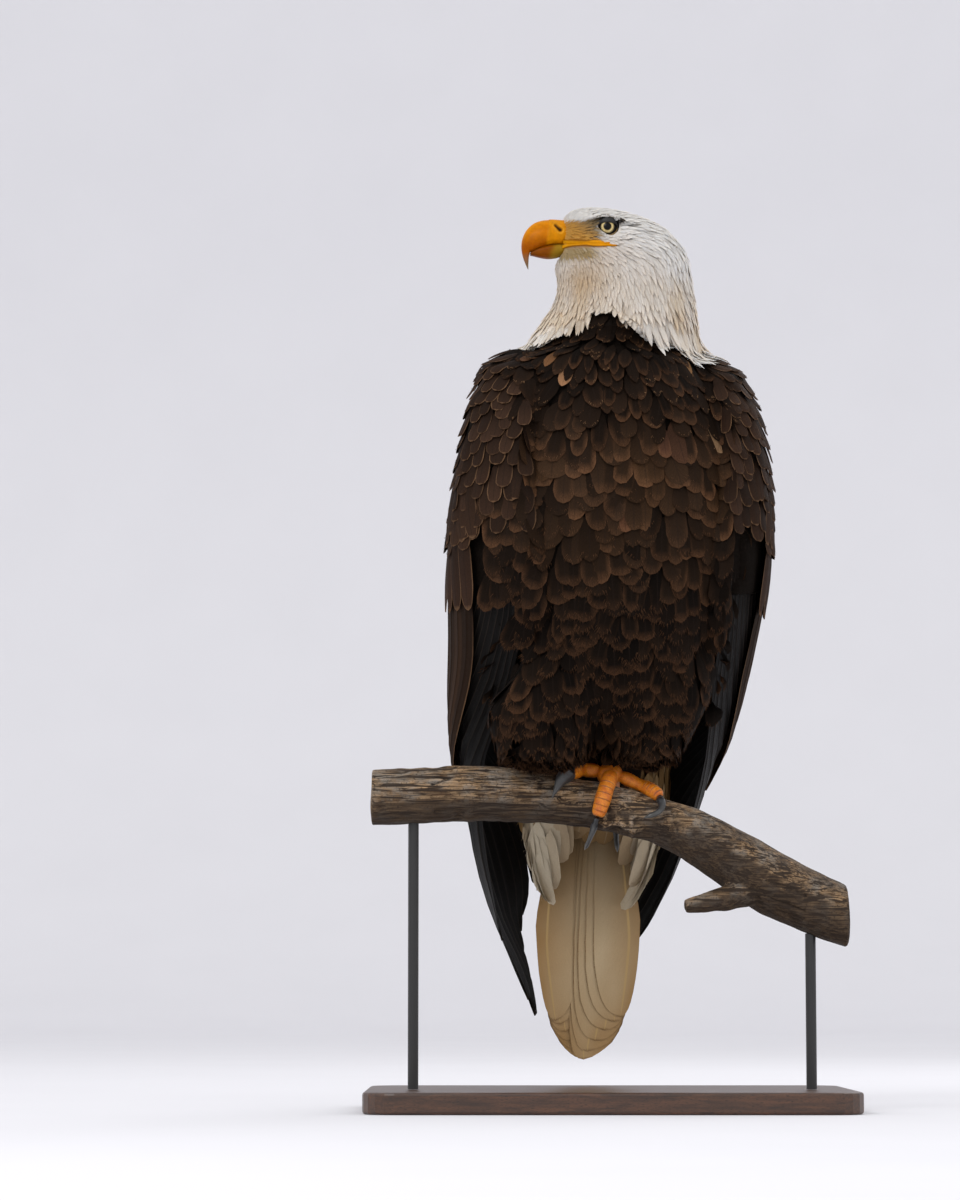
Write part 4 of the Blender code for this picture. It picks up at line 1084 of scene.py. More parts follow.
# From the middle pair outwards: how much shorter each feather is; its shaft's place across at mid-length
# and at its tip; and how far its inner web reaches. The left half lies under the right one as seen from
# above, so from below it shows whole.
TAIL_SHORTER = (0.0, 0.009, 0.020, 0.031, 0.040, 0.045)
TAIL_SHAFTS = (0.008, 0.016, 0.024, 0.031, 0.037, 0.0425)
TAIL_TIPS = {"left": (-0.004, 0.000, 0.006, 0.0135, 0.022, 0.0276),
             "right": (0.006, 0.010, 0.015, 0.020, 0.024, 0.0276)}
TAIL_INNER = {"left": (-0.020, -0.019, -0.017, -0.013, -0.006, 0.002),
              "right": (-0.012, -0.008, -0.004, 0.0, 0.004, 0.006)}
# The fan's half width by the share of its length.
TAIL_EDGE = ((0, 0.3, 0.52, 0.68, 0.81, 0.877, 0.94, 0.99, 1.0),
             (0.012, 0.040, 0.0535, 0.0505, 0.0465, 0.0440, 0.0370, 0.029, 0.024))
TAIL_STEP_DOWN = 0.0009
PATCH = 0.003


def vane_plan(top, under, stations):
    """The pattern of one feather: each vertex's row, place across (-1 to 1) and side, and the corners of
    its faces.

    A row has the upper face's points from edge to edge, then the under face's between the edges. The two
    faces share their edges, so a vane is closed, and one face closes each end.
    """
    width, rows = len(top) + len(under), len(stations)
    across = np.tile(np.concatenate([top, under]), rows)
    side = np.tile(np.concatenate([[0], np.ones(len(top) - 2), [0], -np.ones(len(under))]), rows)
    low = [0, *range(len(top), width), len(top) - 1]
    faces, looks = [], []
    for a in range(0, (rows - 1) * width, width):
        b = a + width
        faces += [(a + i, a + i + 1, b + i + 1, b + i) for i in range(len(top) - 1)]
        faces += [(b + i, b + j, a + j, a + i) for i, j in zip(low[:-1], low[1:])]
        looks += [1] * (len(top) - 1) + [-1] * (len(low) - 1)
    ends = [*range(len(top)), *range(width - 1, len(top) - 1, -1)]
    faces.append(ends[::-1])
    faces.append([(rows - 1) * width + i for i in ends])
    sizes = np.array([len(face) for face in faces])
    return {
        "row": np.repeat(np.arange(rows), width), "across": across, "side": side,
        "at": np.asarray(stations, float), "looks": np.repeat(np.array(looks + [0, 0]), sizes),
        "corners": np.concatenate([np.asarray(face) for face in faces]), "sizes": sizes,
    }


def web(share, full, tip, blunt=6.0):
    """A vane's half width along its length: quickly full, then rounded off to its tip; tip 0.5 is round."""
    return share**full * held(1 - share**blunt) ** tip


def vanes(plan, spine, along, out, left, right, bow, thick, shaft, ragged, seed):
    """Feathers as points [feather, vertex, 3]: webs left and right of each spine, bowed down towards their
    edges.

    left and right are half widths [feather, row]. A point lies at spine + across * e * width + out * (side
    * thickness - bow * e^2 * width), and the shaft is a ridge on both faces.
    """
    row, e, side = plan["row"], plan["across"], plan["side"]
    sideways = unit(np.cross(along, out))
    width = np.where(e < 0, left[:, row], right[:, row])
    edge = np.abs(e) > 0.99
    jag = 1 + ragged * np.random.default_rng(seed).uniform(-1, 0.4, width.shape) * edge
    swell = side * np.sqrt(held(1 - 0.9 * e**2)) * thick / 2
    ridge = side * shaft * (np.abs(e) < 0.02)
    bow = np.broadcast_to(np.asarray(bow, float).reshape(-1, 1), width.shape)
    lift = swell + ridge * np.clip(width / width.max(), 0.3, 1) - bow * e**2 * width
    return spine[:, row] + sideways[:, row] * (e * width * jag)[..., None] + out[:, row] * lift[..., None]


def unwrapped(points):
    """A place in the unit square for each point: the skin rolled flat round the bird's upright axis."""
    own = in_bird(points)
    turn = np.arctan2(own[:, 0], -(own[:, 1] - 0.03)) / (2 * math.pi) + 0.5
    return np.column_stack([turn, held((own[:, 2] + 0.27) / 0.87)]) * (1 - 2 * PATCH) + PATCH


def plumes(name, groups, material, soft=0.6):
    """One joined piece of many feathers. Each group is (plan, points, normals, roots, dyes, edges), by
    feather.

    A coat is shaded softer than its vanes alone would be: their own normals are mixed with those of the
    surface, and give way to them wholly at the edges and the tip, so no vane is outlined by its own thin
    rim.
    """
    points, normals, shares, corners, sizes, vane_uv, bake_uv, dye, edge = [], [], [], [], [], [], [], [], []
    count = 0
    for plan, made, outwards, roots, dyes, edges in groups:
        number, each = made.shape[:2]
        pattern = plan["corners"]
        points.append(made.reshape(-1, 3))
        looks, rim = plan["looks"], ((plan["side"] == 0) | (plan["row"] == plan["row"].max()))[pattern]
        normals.append((outwards[:, plan["row"][pattern]] * looks[None, :, None]).reshape(-1, 3))
        shares.append(np.tile(np.where(looks == 0, 0.0, np.where(rim, 1.0, soft)), number))
        corners.append((pattern[None] + (np.arange(number) * each)[:, None] + count).ravel())
        sizes.append(np.tile(plan["sizes"], number))
        own = np.column_stack([(plan["across"] + 1) / 2, plan["at"][plan["row"]]])[pattern]
        vane_uv.append(np.tile(own, (number, 1)))
        bake_uv.append((unwrapped(roots)[:, None] + (own[None] - 0.5) * PATCH).reshape(-1, 2))
        dyes = dyes if np.ndim(dyes) == 3 else np.broadcast_to(np.asarray(dyes)[:, None], (number, each, 3))
        dye.append(dyes.reshape(-1, 3))
        edge.append(np.repeat(np.broadcast_to(edges, number), each))
        count += number * each
    piece = new_mesh(name, np.concatenate(points), np.concatenate(corners), np.concatenate(sizes), material)
    own = normals_of(piece)[np.concatenate(corners)]
    share = np.concatenate(shares)[:, None]
    piece.data.normals_split_custom_set(unit(own * (1 - share) + np.concatenate(normals) * share))
    for layer, uv in (("vane", vane_uv), ("OFBake", bake_uv)):
        uv = np.concatenate(uv).astype(np.float32)
        piece.data.uv_layers.new(name=layer).data.foreach_set("uv", uv.ravel())
    mark(piece, "dye", np.concatenate(dye))
    mark(piece, "edge", np.concatenate(edge))
    return dress(piece, material)


def feather_finish(name, barbs, edge_tint, edge_from, edge_reach, roughness, shaft_tint, root_shade, gloss,
                   comb_depth, shaft_share=0.6, glow=0.0, crisp=1.0):
    """A feather's surface: its dye combed by slanting barbs, painted shade towards the root, a shaft line
    and worn edges.
    """
    made, tree = begin(name)
    dye = add(tree, "Attribute", attribute_name="dye").outputs["Color"]
    worn = add(tree, "Attribute", attribute_name="edge")
    own = add(tree, "SeparateXYZ", {"Vector": add(tree, "UVMap", uv_map="vane")})
    off = add(tree, "Math", {0: own.outputs["X"], 1: 0.5}, operation="SUBTRACT")
    off = add(tree, "Math", {0: off}, operation="ABSOLUTE")
    # Barbs slant outwards and forwards from the shaft; the bands drawn are a few times wider than real
    # ones.
    slant = add(tree, "Math", {0: off, 1: -0.7, 2: own.outputs["Y"]}, operation="MULTIPLY_ADD")
    where = add(tree, "TexCoord")
    drift = add(tree, "TexNoise", {"Vector": where, "Scale": 90.0, "Detail": 2.0})
    comb = add(tree, "CombineXYZ", {"X": slant, "Y": 0.0, "Z": drift})
    lines = add(tree, "TexNoise", {"Vector": comb, "Scale": barbs, "Detail": 3.0, "Roughness": 0.7})
    comb_shade = add(tree, "MapRange", {"Value": lines, "From Min": 0.3, "From Max": 0.7,
                                        "To Min": 1 - comb_depth, "To Max": 1 + comb_depth})
    colour = add(tree, "Mix", {0: 1.0, 6: dye, 7: comb_shade}, blend_type="MULTIPLY")
    # Painted shade: each feather darkens towards its root, where the one above laps over it.
    root = add(tree, "MapRange", {"Value": own.outputs["Y"], "From Min": 0.35, "From Max": 0.95,
                                  "To Min": root_shade, "To Max": 1.0})
    colour = add(tree, "Mix", {0: 1.0, 6: colour, 7: root},
                 blend_type="MULTIPLY")
    aside = add(tree, "MapRange", {"Value": off, "From Min": edge_from / 2,
                                   "From Max": edge_from / 2 + (0.5 - edge_from / 2) / crisp})
    tip = add(tree, "MapRange", {"Value": own.outputs["Y"], "From Min": edge_reach, "From Max": 1.0})
    late = add(tree, "MapRange", {"Value": own.outputs["Y"], "From Min": 0.35, "From Max": 0.7})
    aside = add(tree, "Math", {0: aside, 1: late}, operation="MULTIPLY")
    rim = add(tree, "Math", {0: aside, 1: tip}, operation="MAXIMUM")
    broken = add(tree, "MapRange", {"Value": lines, "From Min": 0.35, "From Max": 0.62, "To Min": 0.25})
    rim = add(tree, "Math", {0: rim, 1: broken}, operation="MULTIPLY")
    rim = add(tree, "Math", {0: rim, 1: worn}, operation="MULTIPLY", use_clamp=True)
    colour = add(tree, "Mix", {0: rim, 6: colour, 7: edge_tint})
    shaft = add(tree, "MapRange", {"Value": off, "From Min": 0.018, "From Max": 0.034,
                                   "To Min": shaft_share, "To Max": 0.0})
    colour = add(tree, "Mix", {0: shaft, 6: colour, 7: shaft_tint})
    bump = add(tree, "Bump", {"Height": lines, "Strength": 0.35, "Distance": 0.0004})
    close(tree, {"Base Color": colour, "Roughness": roughness, "Normal": bump,
                 "Specular IOR Level": gloss, "Subsurface Weight": glow, "Subsurface Scale": 0.004,
                 "Subsurface Radius": (1.0, 0.8, 0.6)})
    return made


def from_bird(points):
    """Bird-frame places as world points."""
    return points @ BIRD + BIRD_AT


def varied(colour, spread, count, seed):
    """One colour for each feather: lighter or darker by up to the spread."""
    factor = np.random.default_rng(seed).uniform(1 - spread, 1 + spread, (count, 1))
    return held(np.asarray(colour)[..., :3] * factor)


# The tail feathers' thin brown edge line is painted shadow, where each edge lies over the next feather.
white_quill = feather_finish(
    "white tail feather", barbs=60.0, edge_tint="#7d6140", edge_from=0.962, edge_reach=0.990, roughness=0.62,
    shaft_tint="#cdae74", root_shade=0.92, gloss=0.10, comb_depth=0.08, shaft_share=0.55, crisp=2.5)
WIDE = (-1, -0.72, -0.4, -0.07, 0, 0.07, 0.4, 0.72, 1)
long_rows = np.concatenate([np.linspace(0, 0.8, 15), np.array([0.85, 0.90, 0.94, 0.965, 0.982, 0.994, 1.0])])
blade = vane_plan(WIDE, WIDE[1:-1], long_rows)

cloud = in_bird(points_of(nodes["tail"]))
tail_low = cloud[:, 2].min()
levels = np.linspace(tail_low + 0.03, 0.0, 12)
bands = [cloud[np.abs(cloud[:, 2] - z) < 0.02] for z in levels]
middle = np.array([(band.max(axis=0) + band.min(axis=0)) / 2 for band in bands])
tail_x, tail_y = np.polyfit(levels, middle[:, 0], 1), np.polyfit(levels, middle[:, 1], 1)
tail_way = unit(np.array([-tail_x[0], -tail_y[0], -1.0]))
tail_root = np.array([np.polyval(tail_x, 0.05), np.polyval(tail_y, 0.05), 0.05])
tail_length = (0.05 - tail_low) / -tail_way[2]
tail_back = unit(np.cross([1, 0, 0], tail_way))
tail_back = tail_back * np.sign(tail_back[1])
tail_side = np.cross(tail_back, tail_way)
tail_side = tail_side * np.sign(tail_side[0])

spines, outs, left, right = [], [], [], []
at = blade["at"]
for side in ("right", "left"):
    hand = 1 if side == "left" else -1
    for k, shorter in enumerate(TAIL_SHORTER):
        length = tail_length - shorter - 0.001
        far = at * length / tail_length
        grow = np.interp(far, [0, 0.15, 0.35, 0.6], [0.25, 0.55, 0.85, 1.0])
        x = TAIL_SHAFTS[k] * grow
        x = x + (TAIL_TIPS[side][k] - TAIL_SHAFTS[k]) * held((far - 0.55) / 0.4) ** 1.5
        depth = -k * TAIL_STEP_DOWN - 0.006 * (x / 0.055) ** 2 + 0.002 - (0.0042 if side == "left" else 0.0)
        spines.append(tail_root + tail_way * (at * length)[:, None] + tail_side * (hand * x)[:, None]
                      + tail_back * depth[:, None])
        # Each vane lies along the chord of the arched fan, so that its inner edge stays over the next
        # feather.
        tilt = 1.6 * (TAIL_SHAFTS[k] + TAIL_INNER[side][k])
        outs.append(np.broadcast_to(unit(tail_back + tail_side * hand * tilt), (len(at), 3)))
        shape = np.maximum(web(at, full=0.16, tip=0.5, blunt=20.0 - 2.0 * k), 0.02)
        outer = np.maximum(np.interp(far, *TAIL_EDGE) - 0.0012 * (5 - k) - x, 0.003) * shape
        inner = np.maximum(x - TAIL_INNER[side][k] * grow, 0.005) * shape
        left.append(inner if side == "left" else outer)
        right.append(outer if side == "left" else inner)
spine, out = np.array(spines), np.array(outs)
left, right = np.array(left), np.array(right)
along = unit(np.gradient(spine, axis=1))
made = vanes(blade, from_bird(spine), along @ BIRD, out @ BIRD, left, right,
             bow=0.02, thick=0.0008, shaft=0.0006, ragged=0.015, seed=1)
roots = from_bird(tail_root + np.linspace(-0.03, 0.03, 12)[:, None] * tail_side)
# White in the middle of the fan, tan towards its edges and its end; near its root, under the branch, it is
# painted dark brown as the branch's shadow.
own = in_bird(made.reshape(-1, 3))
blush = value_noise(own / (0.016, 0.016, 0.045), 82) * 0.25 + np.abs(own[:, 0] - 0.022) / 0.055
blush = held(0.25 + 0.55 * blush + held((-own[:, 2] - 0.17) / 0.09) * 0.45)
dye = mixed("#dcc9a6", "#a27a45", blush)
# Painted shadow of the branch over the tail's root.
dye = mixed(dye, "#4e3818", held((own[:, 2] + 0.135) / 0.11) * 0.85)
dye = dye.reshape(made.shape)
groups = [(blade, made, out @ BIRD, roots, dye, 1.1)]
tail = plumes("tail_feathers", groups, white_quill, 0.5)
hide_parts("tail")

# ---------------------------------------------------------------- tail coverts
# Loose soft white feathers over and under the root of the tail. The lower ones hang behind the branch in
# a fluffy bunch with frayed edges and end halfway down the tail.

NARROW = (-1, -0.5, 0, 0.5, 1)


def squared(spine, out):
    """Unit vectors along spines [feather, row, 3], and outward directions turned square to them."""
    along = unit(np.gradient(spine, axis=1))
    return along, unit(out - along * np.sum(out * along, axis=2, keepdims=True))


def scattered(target, count, seed):
    """Random points spread evenly over a mesh's surface, with the normals there."""
    mesh = target.data
    mesh.calc_loop_triangles()
    corner = np.empty(len(mesh.loop_triangles) * 3, np.int32)
    mesh.loop_triangles.foreach_get("vertices", corner)
    a, b, c = (points_of(target)[corner.reshape(-1, 3)[:, i]] for i in range(3))
    na, nb, nc = (normals_of(target)[corner.reshape(-1, 3)[:, i]] for i in range(3))
    area = np.linalg.norm(np.cross(b - a, c - a), axis=1)
    random = np.random.default_rng(seed)
    pick = random.choice(len(area), count, p=area / area.sum())
    r, s = np.sqrt(random.random((count, 1))), random.random((count, 1))
    weights = (1 - r, r * (1 - s), r * s)
    points = sum(w * p[pick] for w, p in zip(weights, (a, b, c)))
    return points, unit(sum(w * n[pick] for w, n in zip(weights, (na, nb, nc))))


def thinned(points, gap):
    """Which points to keep so that none is nearer than its gap to one kept before it."""
    tree = kdtree.KDTree(len(points))
    for i, point in enumerate(points):
        tree.insert(point, i)
    tree.balance()
    keep = np.ones(len(points), bool)
    gap = np.broadcast_to(gap, len(points))
    for i, point in enumerate(points):
        if keep[i]:
            near = [j for _, j, _ in tree.find_range(point, gap[i])]
            keep[near] = False
            keep[i] = True
    return keep


def laid(roots, length, flow, target, stations, sink, rise=0.0, curve=1.6, tilt=0.0):
    """Feather spines stepped over a surface from each root along the flow, kept to the surface at every
    step.

    A spine starts sink below the surface and comes up to rise above it at its tip, as (1 - share) ** curve,
    so that each feather lies over the roots of those below it. tilt turns a feather off the flow, in
    radians. Returns spines, directions along and outwards.
    """
    tilt = np.broadcast_to(tilt, len(roots))[:, None]
    place, normal = placed(roots, target)
    places, normals = [place], [normal]
    length = np.broadcast_to(length, len(roots))
    for a, b in zip(stations[:-1], stations[1:]):
        way = flow(place)
        way = unit(way - normal * np.sum(way * normal, axis=1, keepdims=True))
        way = way * np.cos(tilt) + np.cross(normal, way) * np.sin(tilt)
        place, fresh = placed(place + way * (length * (b - a))[:, None], target)
        normal = unit(normal + fresh)
        places.append(place)
        normals.append(normal)
    spine, out = np.stack(places, axis=1), np.stack(normals, axis=1)
    share = np.asarray(stations)[None]
    sink, rise = (np.broadcast_to(v, len(roots))[:, None] for v in (sink, rise))
    offset = -sink * (1 - share) ** curve + rise * share**2
    spine = spine + out * offset[..., None]
    return spine, *squared(spine, out)


def fringe(spine, along, out, width, each, reach, from_share, stations, seed):
    """Loose barbs at a feather's end: slim closed slivers that fan out from the vane beyond its edge."""
    random = np.random.default_rng(seed)
    count = len(spine)
    fan = np.linspace(-1, 1, each)[None] + random.uniform(-0.15, 0.15, (count, each))
    start = held(1 - from_share * (0.35 + 0.65 * np.abs(fan)) * random.uniform(0.6, 1.0, fan.shape))
    index = np.clip(np.searchsorted(stations, start) - 1, 0, len(stations) - 2)
    part = (start - stations[index]) / (stations[index + 1] - stations[index])
    rows = np.arange(count)[:, None]
    base = spine[rows, index] * (1 - part[..., None]) + spine[rows, index + 1] * part[..., None]
    sideways = np.cross(along, out)[rows, index]
    forward, up = along[rows, index], out[rows, index]
    half = width[rows, index] * (1 - part) + width[rows, index + 1] * part
    base = base + sideways * (fan * half * 0.75)[..., None]
    way = unit(forward * np.cos(fan * 0.5)[..., None] + sideways * np.sin(fan * 0.5)[..., None])
    long = (reach * random.uniform(0.5, 1.1, fan.shape))[..., None]
    thin = 0.00030
    cross = np.cross(way, up)
    tip = base + way * long + up * (long * random.uniform(-0.05, 0.15, fan.shape)[..., None])
    under = base - up * thin * 0.8 + way * long * 0.2
    points = np.stack([base - cross * thin, base + cross * thin, under, tip], axis=2)
    return points.reshape(count * each, 4, 3)


sliver = {
    "row": np.array([0, 0, 0, 1]), "across": np.array([-0.95, 0.95, 0.95, 0.95]), "side": np.zeros(4),
    "at": np.array([0.9, 1.0]),
    "corners": np.array([0, 1, 3, 1, 2, 3, 2, 0, 3, 0, 2, 1]), "sizes": np.array([3, 3, 3, 3]),
    "looks": np.repeat([1, 0, 0, 0], 3),
}

contour = vane_plan(NARROW, (0,), np.array([0, 0.16, 0.36, 0.56, 0.74, 0.87, 0.955, 1.0]))
stations = contour["at"]


def loose_barbs(spine, along, out, width, roots, dyes, edge, each, reach, from_share, seed):
    """A group for plumes: the barbs at contour feathers' ends, each with its own feather's root and dye."""
    made = fringe(spine, along, out, width, each, reach, from_share, stations, seed)
    ends, roots, dyes = (np.repeat(rows, each, axis=0) for rows in (out[:, -1:], roots, dyes))
    return sliver, made, ends[:, [0, 0]], roots, dyes, edge


soft_white = feather_finish(
    "soft white body feather", barbs=34.0, edge_tint="#9c8462", edge_from=0.92, edge_reach=0.95,
    roughness=0.75, shaft_tint="#b5a283", root_shade=0.75, gloss=0.10, comb_depth=0.16, shaft_share=0.3)


def tailwards(points):
    """Down the tail."""
    return np.broadcast_to(tail_way @ BIRD, points.shape)


points, normal = scattered(rump_form, count=6000, seed=21)
own = in_bird(points)
aside = held(np.abs(own[:, 0] - 0.008) / 0.055)
ok = (own[:, 2] < 0.080) & (own[:, 2] > 0.004 - 0.050 * aside**2)
points, own = points[ok], own[ok]
random = np.random.default_rng(22)
order = np.argsort(-own[:, 2] + 0.01 * random.random(len(own)))
points = points[order]
points = points[thinned(points, 0.0115)]
own = in_bird(points)
count = len(points)
aside = held(np.abs(own[:, 0] - 0.008) / 0.055)
length = (0.056 + 0.004 * aside) * random.uniform(0.80, 1.20, count)
width = (0.0120 + 0.0035 * aside) * random.uniform(0.85, 1.2, count)
spine, along, out = laid(points, length, tailwards, rump_form, stations, sink=0.0030, rise=0.0002)
# The coverts' ends come down on the tail feathers.
tail_form = fused("tail_form", ["tail"], 0.003, smoothing=4)
down_on = snapped(spine[:, -1], tail_form, 0.0025) - spine[:, -1]
down_on = (down_on @ BIRD.T @ tail_back)[:, None] * (tail_back @ BIRD)
bpy.data.objects.remove(tail_form)
spine = spine + down_on[:, None] * (stations[None, :, None] ** 1.5) * (1 - 0.5 * aside[:, None, None] ** 2)
along, out = squared(spine, out)
half = width[:, None] * np.maximum(web(stations, full=0.45, tip=0.5, blunt=9.0), 0.03)[None]
made = vanes(contour, spine, along, out, half, half,
             bow=0.10, thick=0.00035, shaft=0.0, ragged=0.12, seed=23)
# Painted shade: the white coverts lie in the shadow under the branch, so they are painted tan, darker brown
# towards the top and paler at the sides low down.
shade = held((own[:, 2] + 0.02) / 0.07)
dye = mixed("#a98a5f", "#5d4526", shade) * random.uniform(0.94, 1.06, (count, 1))
dye = mixed(dye, "#cdc0a8", aside**2 * held((0.03 - own[:, 2]) / 0.03))
barbs = loose_barbs(spine, along, out, half, points, dye, 0.0,
                    each=13, reach=0.0042, from_share=0.22, seed=25)
groups = [(contour, made, out, points, dye, 0.0), barbs]
rump = plumes("undertail_coverts", groups, soft_white, 0.85)
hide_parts("tail_coverts")

# ---------------------------------------------------------------- wings
# Each folded wing is a fan closed on itself and wrapped round the body. Ten near-black primaries run down
# its front edge to the point, brown secondaries lie over them, and rows of shorter coverts shingle over
# their roots.

WING_AXIS_Y = 0.03
PRIMARY_TIPS = (-0.128, -0.186, -0.202, -0.196, -0.170, -0.140, -0.120, -0.104, -0.070, -0.030)
PRIMARY_TIP_ACROSS = (0.12, 0.30, 0.50, 0.64, 0.76, 0.86, 0.92, 0.95, 0.96, 0.96)


def read_wing(form, levels, columns):
    """A wing's two faces as distances from the bird's upright axis: [level, column, outer or inner], and
    its turns.

    Rays run to and from the axis at each level, from the wing's first turn round the axis to its last.
    """
    cloud = in_bird(points_of(form))
    turn_of = np.arctan2(cloud[:, 0], WING_AXIS_Y - cloud[:, 1])
    bands = [turn_of[np.abs(cloud[:, 2] - z) < 0.005] for z in levels]
    limits = np.array([(band.min(), band.max()) for band in bands])
    for _ in range(2):
        limits[1:-1] = (limits[:-2] + 2 * limits[1:-1] + limits[2:]) / 4
    reach = np.full((len(levels), columns, 2), np.nan)
    for (i, j), _ in np.ndenumerate(reach[..., 0]):
        turn = limits[i, 0] + (limits[i, 1] - limits[i, 0]) * (0.01 + 0.98 * j / (columns - 1))
        way = np.array([math.sin(turn), -math.cos(turn), 0.0])
        middle = np.array([0.0, WING_AXIS_Y, levels[i]])
        for face, start, aim in ((0, middle + way * 0.4, -way), (1, middle, way)):
            hit, place, _, _ = form.ray_cast(from_bird(start), aim @ BIRD)
            if hit:
                reach[i, j, face] = np.linalg.norm((in_bird(np.array(place)) - middle)[:2])
    for row in reach:
        for face in (0, 1):
            found = ~np.isnan(row[:, face])
            row[:, face] = np.interp(np.arange(columns), np.flatnonzero(found), row[found, face])
    for _ in range(2):
        reach[1:-1] = (reach[:-2] + 2 * reach[1:-1] + reach[2:]) / 4
        reach[:, 1:-1] = (reach[:, :-2] + 2 * reach[:, 1:-1] + reach[:, 2:]) / 4
    return reach, limits


heights = in_bird(points_of(wing_forms["left"]))[:, 2]
bottom, top = heights.min(), heights.max()
wing_levels = np.linspace(bottom + 0.003, top - 0.008, 64)
wing_reach, wing_limits = read_wing(wing_forms["left"], wing_levels, 33)


def wing_place(u, z, share=0.0):
    """A place on the left wing, in the bird's frame: u is 0 at its front edge and 1 at its rear one, z the
    height.

    share is the depth: 0 on the outer face, 1 on the inner one. The table is read between its four nearest
    entries.
    """
    u, z, share = np.broadcast_arrays(np.asarray(u, float), np.asarray(z, float), np.asarray(share, float))
    low, high = (np.interp(z, wing_levels, wing_limits[:, side]) for side in (0, 1))
    turn = low + (high - low) * (0.01 + 0.98 * u)
    row = np.interp(z, wing_levels, np.arange(len(wing_levels)))
    column = held(u) * (wing_reach.shape[1] - 1)
    i = np.clip(np.floor(row).astype(int), 0, wing_reach.shape[0] - 2)
    j = np.clip(np.floor(column).astype(int), 0, wing_reach.shape[1] - 2)
    a, b = (row - i)[..., None], (column - j)[..., None]
    both = (wing_reach[i, j] * (1 - a) * (1 - b) + wing_reach[i + 1, j] * a * (1 - b)
            + wing_reach[i, j + 1] * (1 - a) * b + wing_reach[i + 1, j + 1] * a * b)
    reach = both[..., 0] * (1 - share) + both[..., 1] * share
    return np.stack([np.sin(turn) * reach, WING_AXIS_Y - np.cos(turn) * reach, z], axis=-1)


def wing_out(u, z):
    """The direction out of the left wing's outer face: the cross product of its slopes down and back."""
    down_slope = wing_place(u, z - 0.006) - wing_place(u, z + 0.006)
    back_slope = wing_place(held(u + 0.03), z) - wing_place(held(u - 0.03), z)
    return unit(np.cross(down_slope, back_slope))


chords = np.array([
    np.linalg.norm(np.diff(wing_place(np.linspace(0, 1, 40), z), axis=0), axis=1).sum() for z in wing_levels
])


def chord_at(z):
    """The wing's girth from front edge to rear edge at these heights."""
    return np.interp(z, wing_levels, chords)


def on_wing(side, plan, u, z, front, rear, share, lift, bow, thick, shaft, ragged, seed):
    """Feathers that follow a wing's curve: points and outward directions, in the world, [feather, vertex or
    row, 3].

    u and z are each spine's path, front and rear the vane's widths, all [feather, row]. A vane's point a
    distance w off the spine is w / chord away in u, and it bows in by bow * e^2 * w.
    """
    row, e, flat = plan["row"], plan["across"], plan["side"]
    hand = 1 if side == "left" else -1
    share, lift = (np.broadcast_to(np.asarray(v, float), u.shape) for v in (share, lift))
    z_row = z[:, row]
    chord = chord_at(z_row)
    wide = np.where(hand * e > 0, np.minimum(front, u * chord_at(z))[:, row],
                    np.minimum(rear, (1 - u) * chord_at(z))[:, row])
    edge = np.abs(e) > 0.99
    jag = 1 + ragged * np.random.default_rng(seed).uniform(-1, 0.4, wide.shape) * edge
    across = held(u[:, row] - hand * e * wide * jag / chord)
    out = wing_out(across, z_row)
    swell = flat * np.sqrt(held(1 - 0.9 * e**2)) * thick / 2 + flat * shaft * (np.abs(e) < 0.02)
    height = lift[:, row] + swell - bow * e**2 * wide
    place = wing_place(across, z_row, share[:, row]) + out * height[..., None]
    flip = np.array([hand, 1.0, 1.0])
    return from_bird(place * flip), wing_out(u, z) * flip @ BIRD


def paths(first, last, plan, power=1.0):
    """One row of numbers for each feather, from its first value to its last along the plan's stations."""
    first, last = np.asarray(first, float)[:, None], np.asarray(last, float)[:, None]
    return first + (last - first) * plan["at"][None] ** power


def down_wing(points):
    """Down a wing, sweeping back below the wrist."""
    own = in_bird(points)
    turn = np.arctan2(np.abs(own[:, 0]), WING_AXIS_Y - own[:, 1])
    back = np.column_stack([np.cos(turn) * np.sign(own[:, 0]), np.sin(turn), 0 * turn])
    sweep = np.interp(own[:, 2], [0.20, 0.30, 0.38, 0.44], [0.10, 0.08, 0.22, 0.45])
    return (back * sweep[:, None] + np.array([0, 0, -1.0])) @ BIRD


black_quill = feather_finish(
    "near-black flight feather", barbs=90.0, edge_tint="#352a22", edge_from=0.90, edge_reach=0.985,
    roughness=0.42, shaft_tint="#2c2621", root_shade=0.9, gloss=0.05, comb_depth=0.2)
wing_brown = feather_finish(
    "worn brown wing feather", barbs=40.0, edge_tint="#8f6d4f", edge_from=0.82, edge_reach=0.95,
    roughness=0.65, shaft_tint="#1d1510", root_shade=0.50, gloss=0.05, comb_depth=0.32, shaft_share=0.5)
covert_rows = np.array([0, 0.12, 0.26, 0.4, 0.54, 0.67, 0.78, 0.87, 0.94, 0.98, 1.0])
long_covert = vane_plan(WIDE[::2], WIDE[2:-2:2], covert_rows)

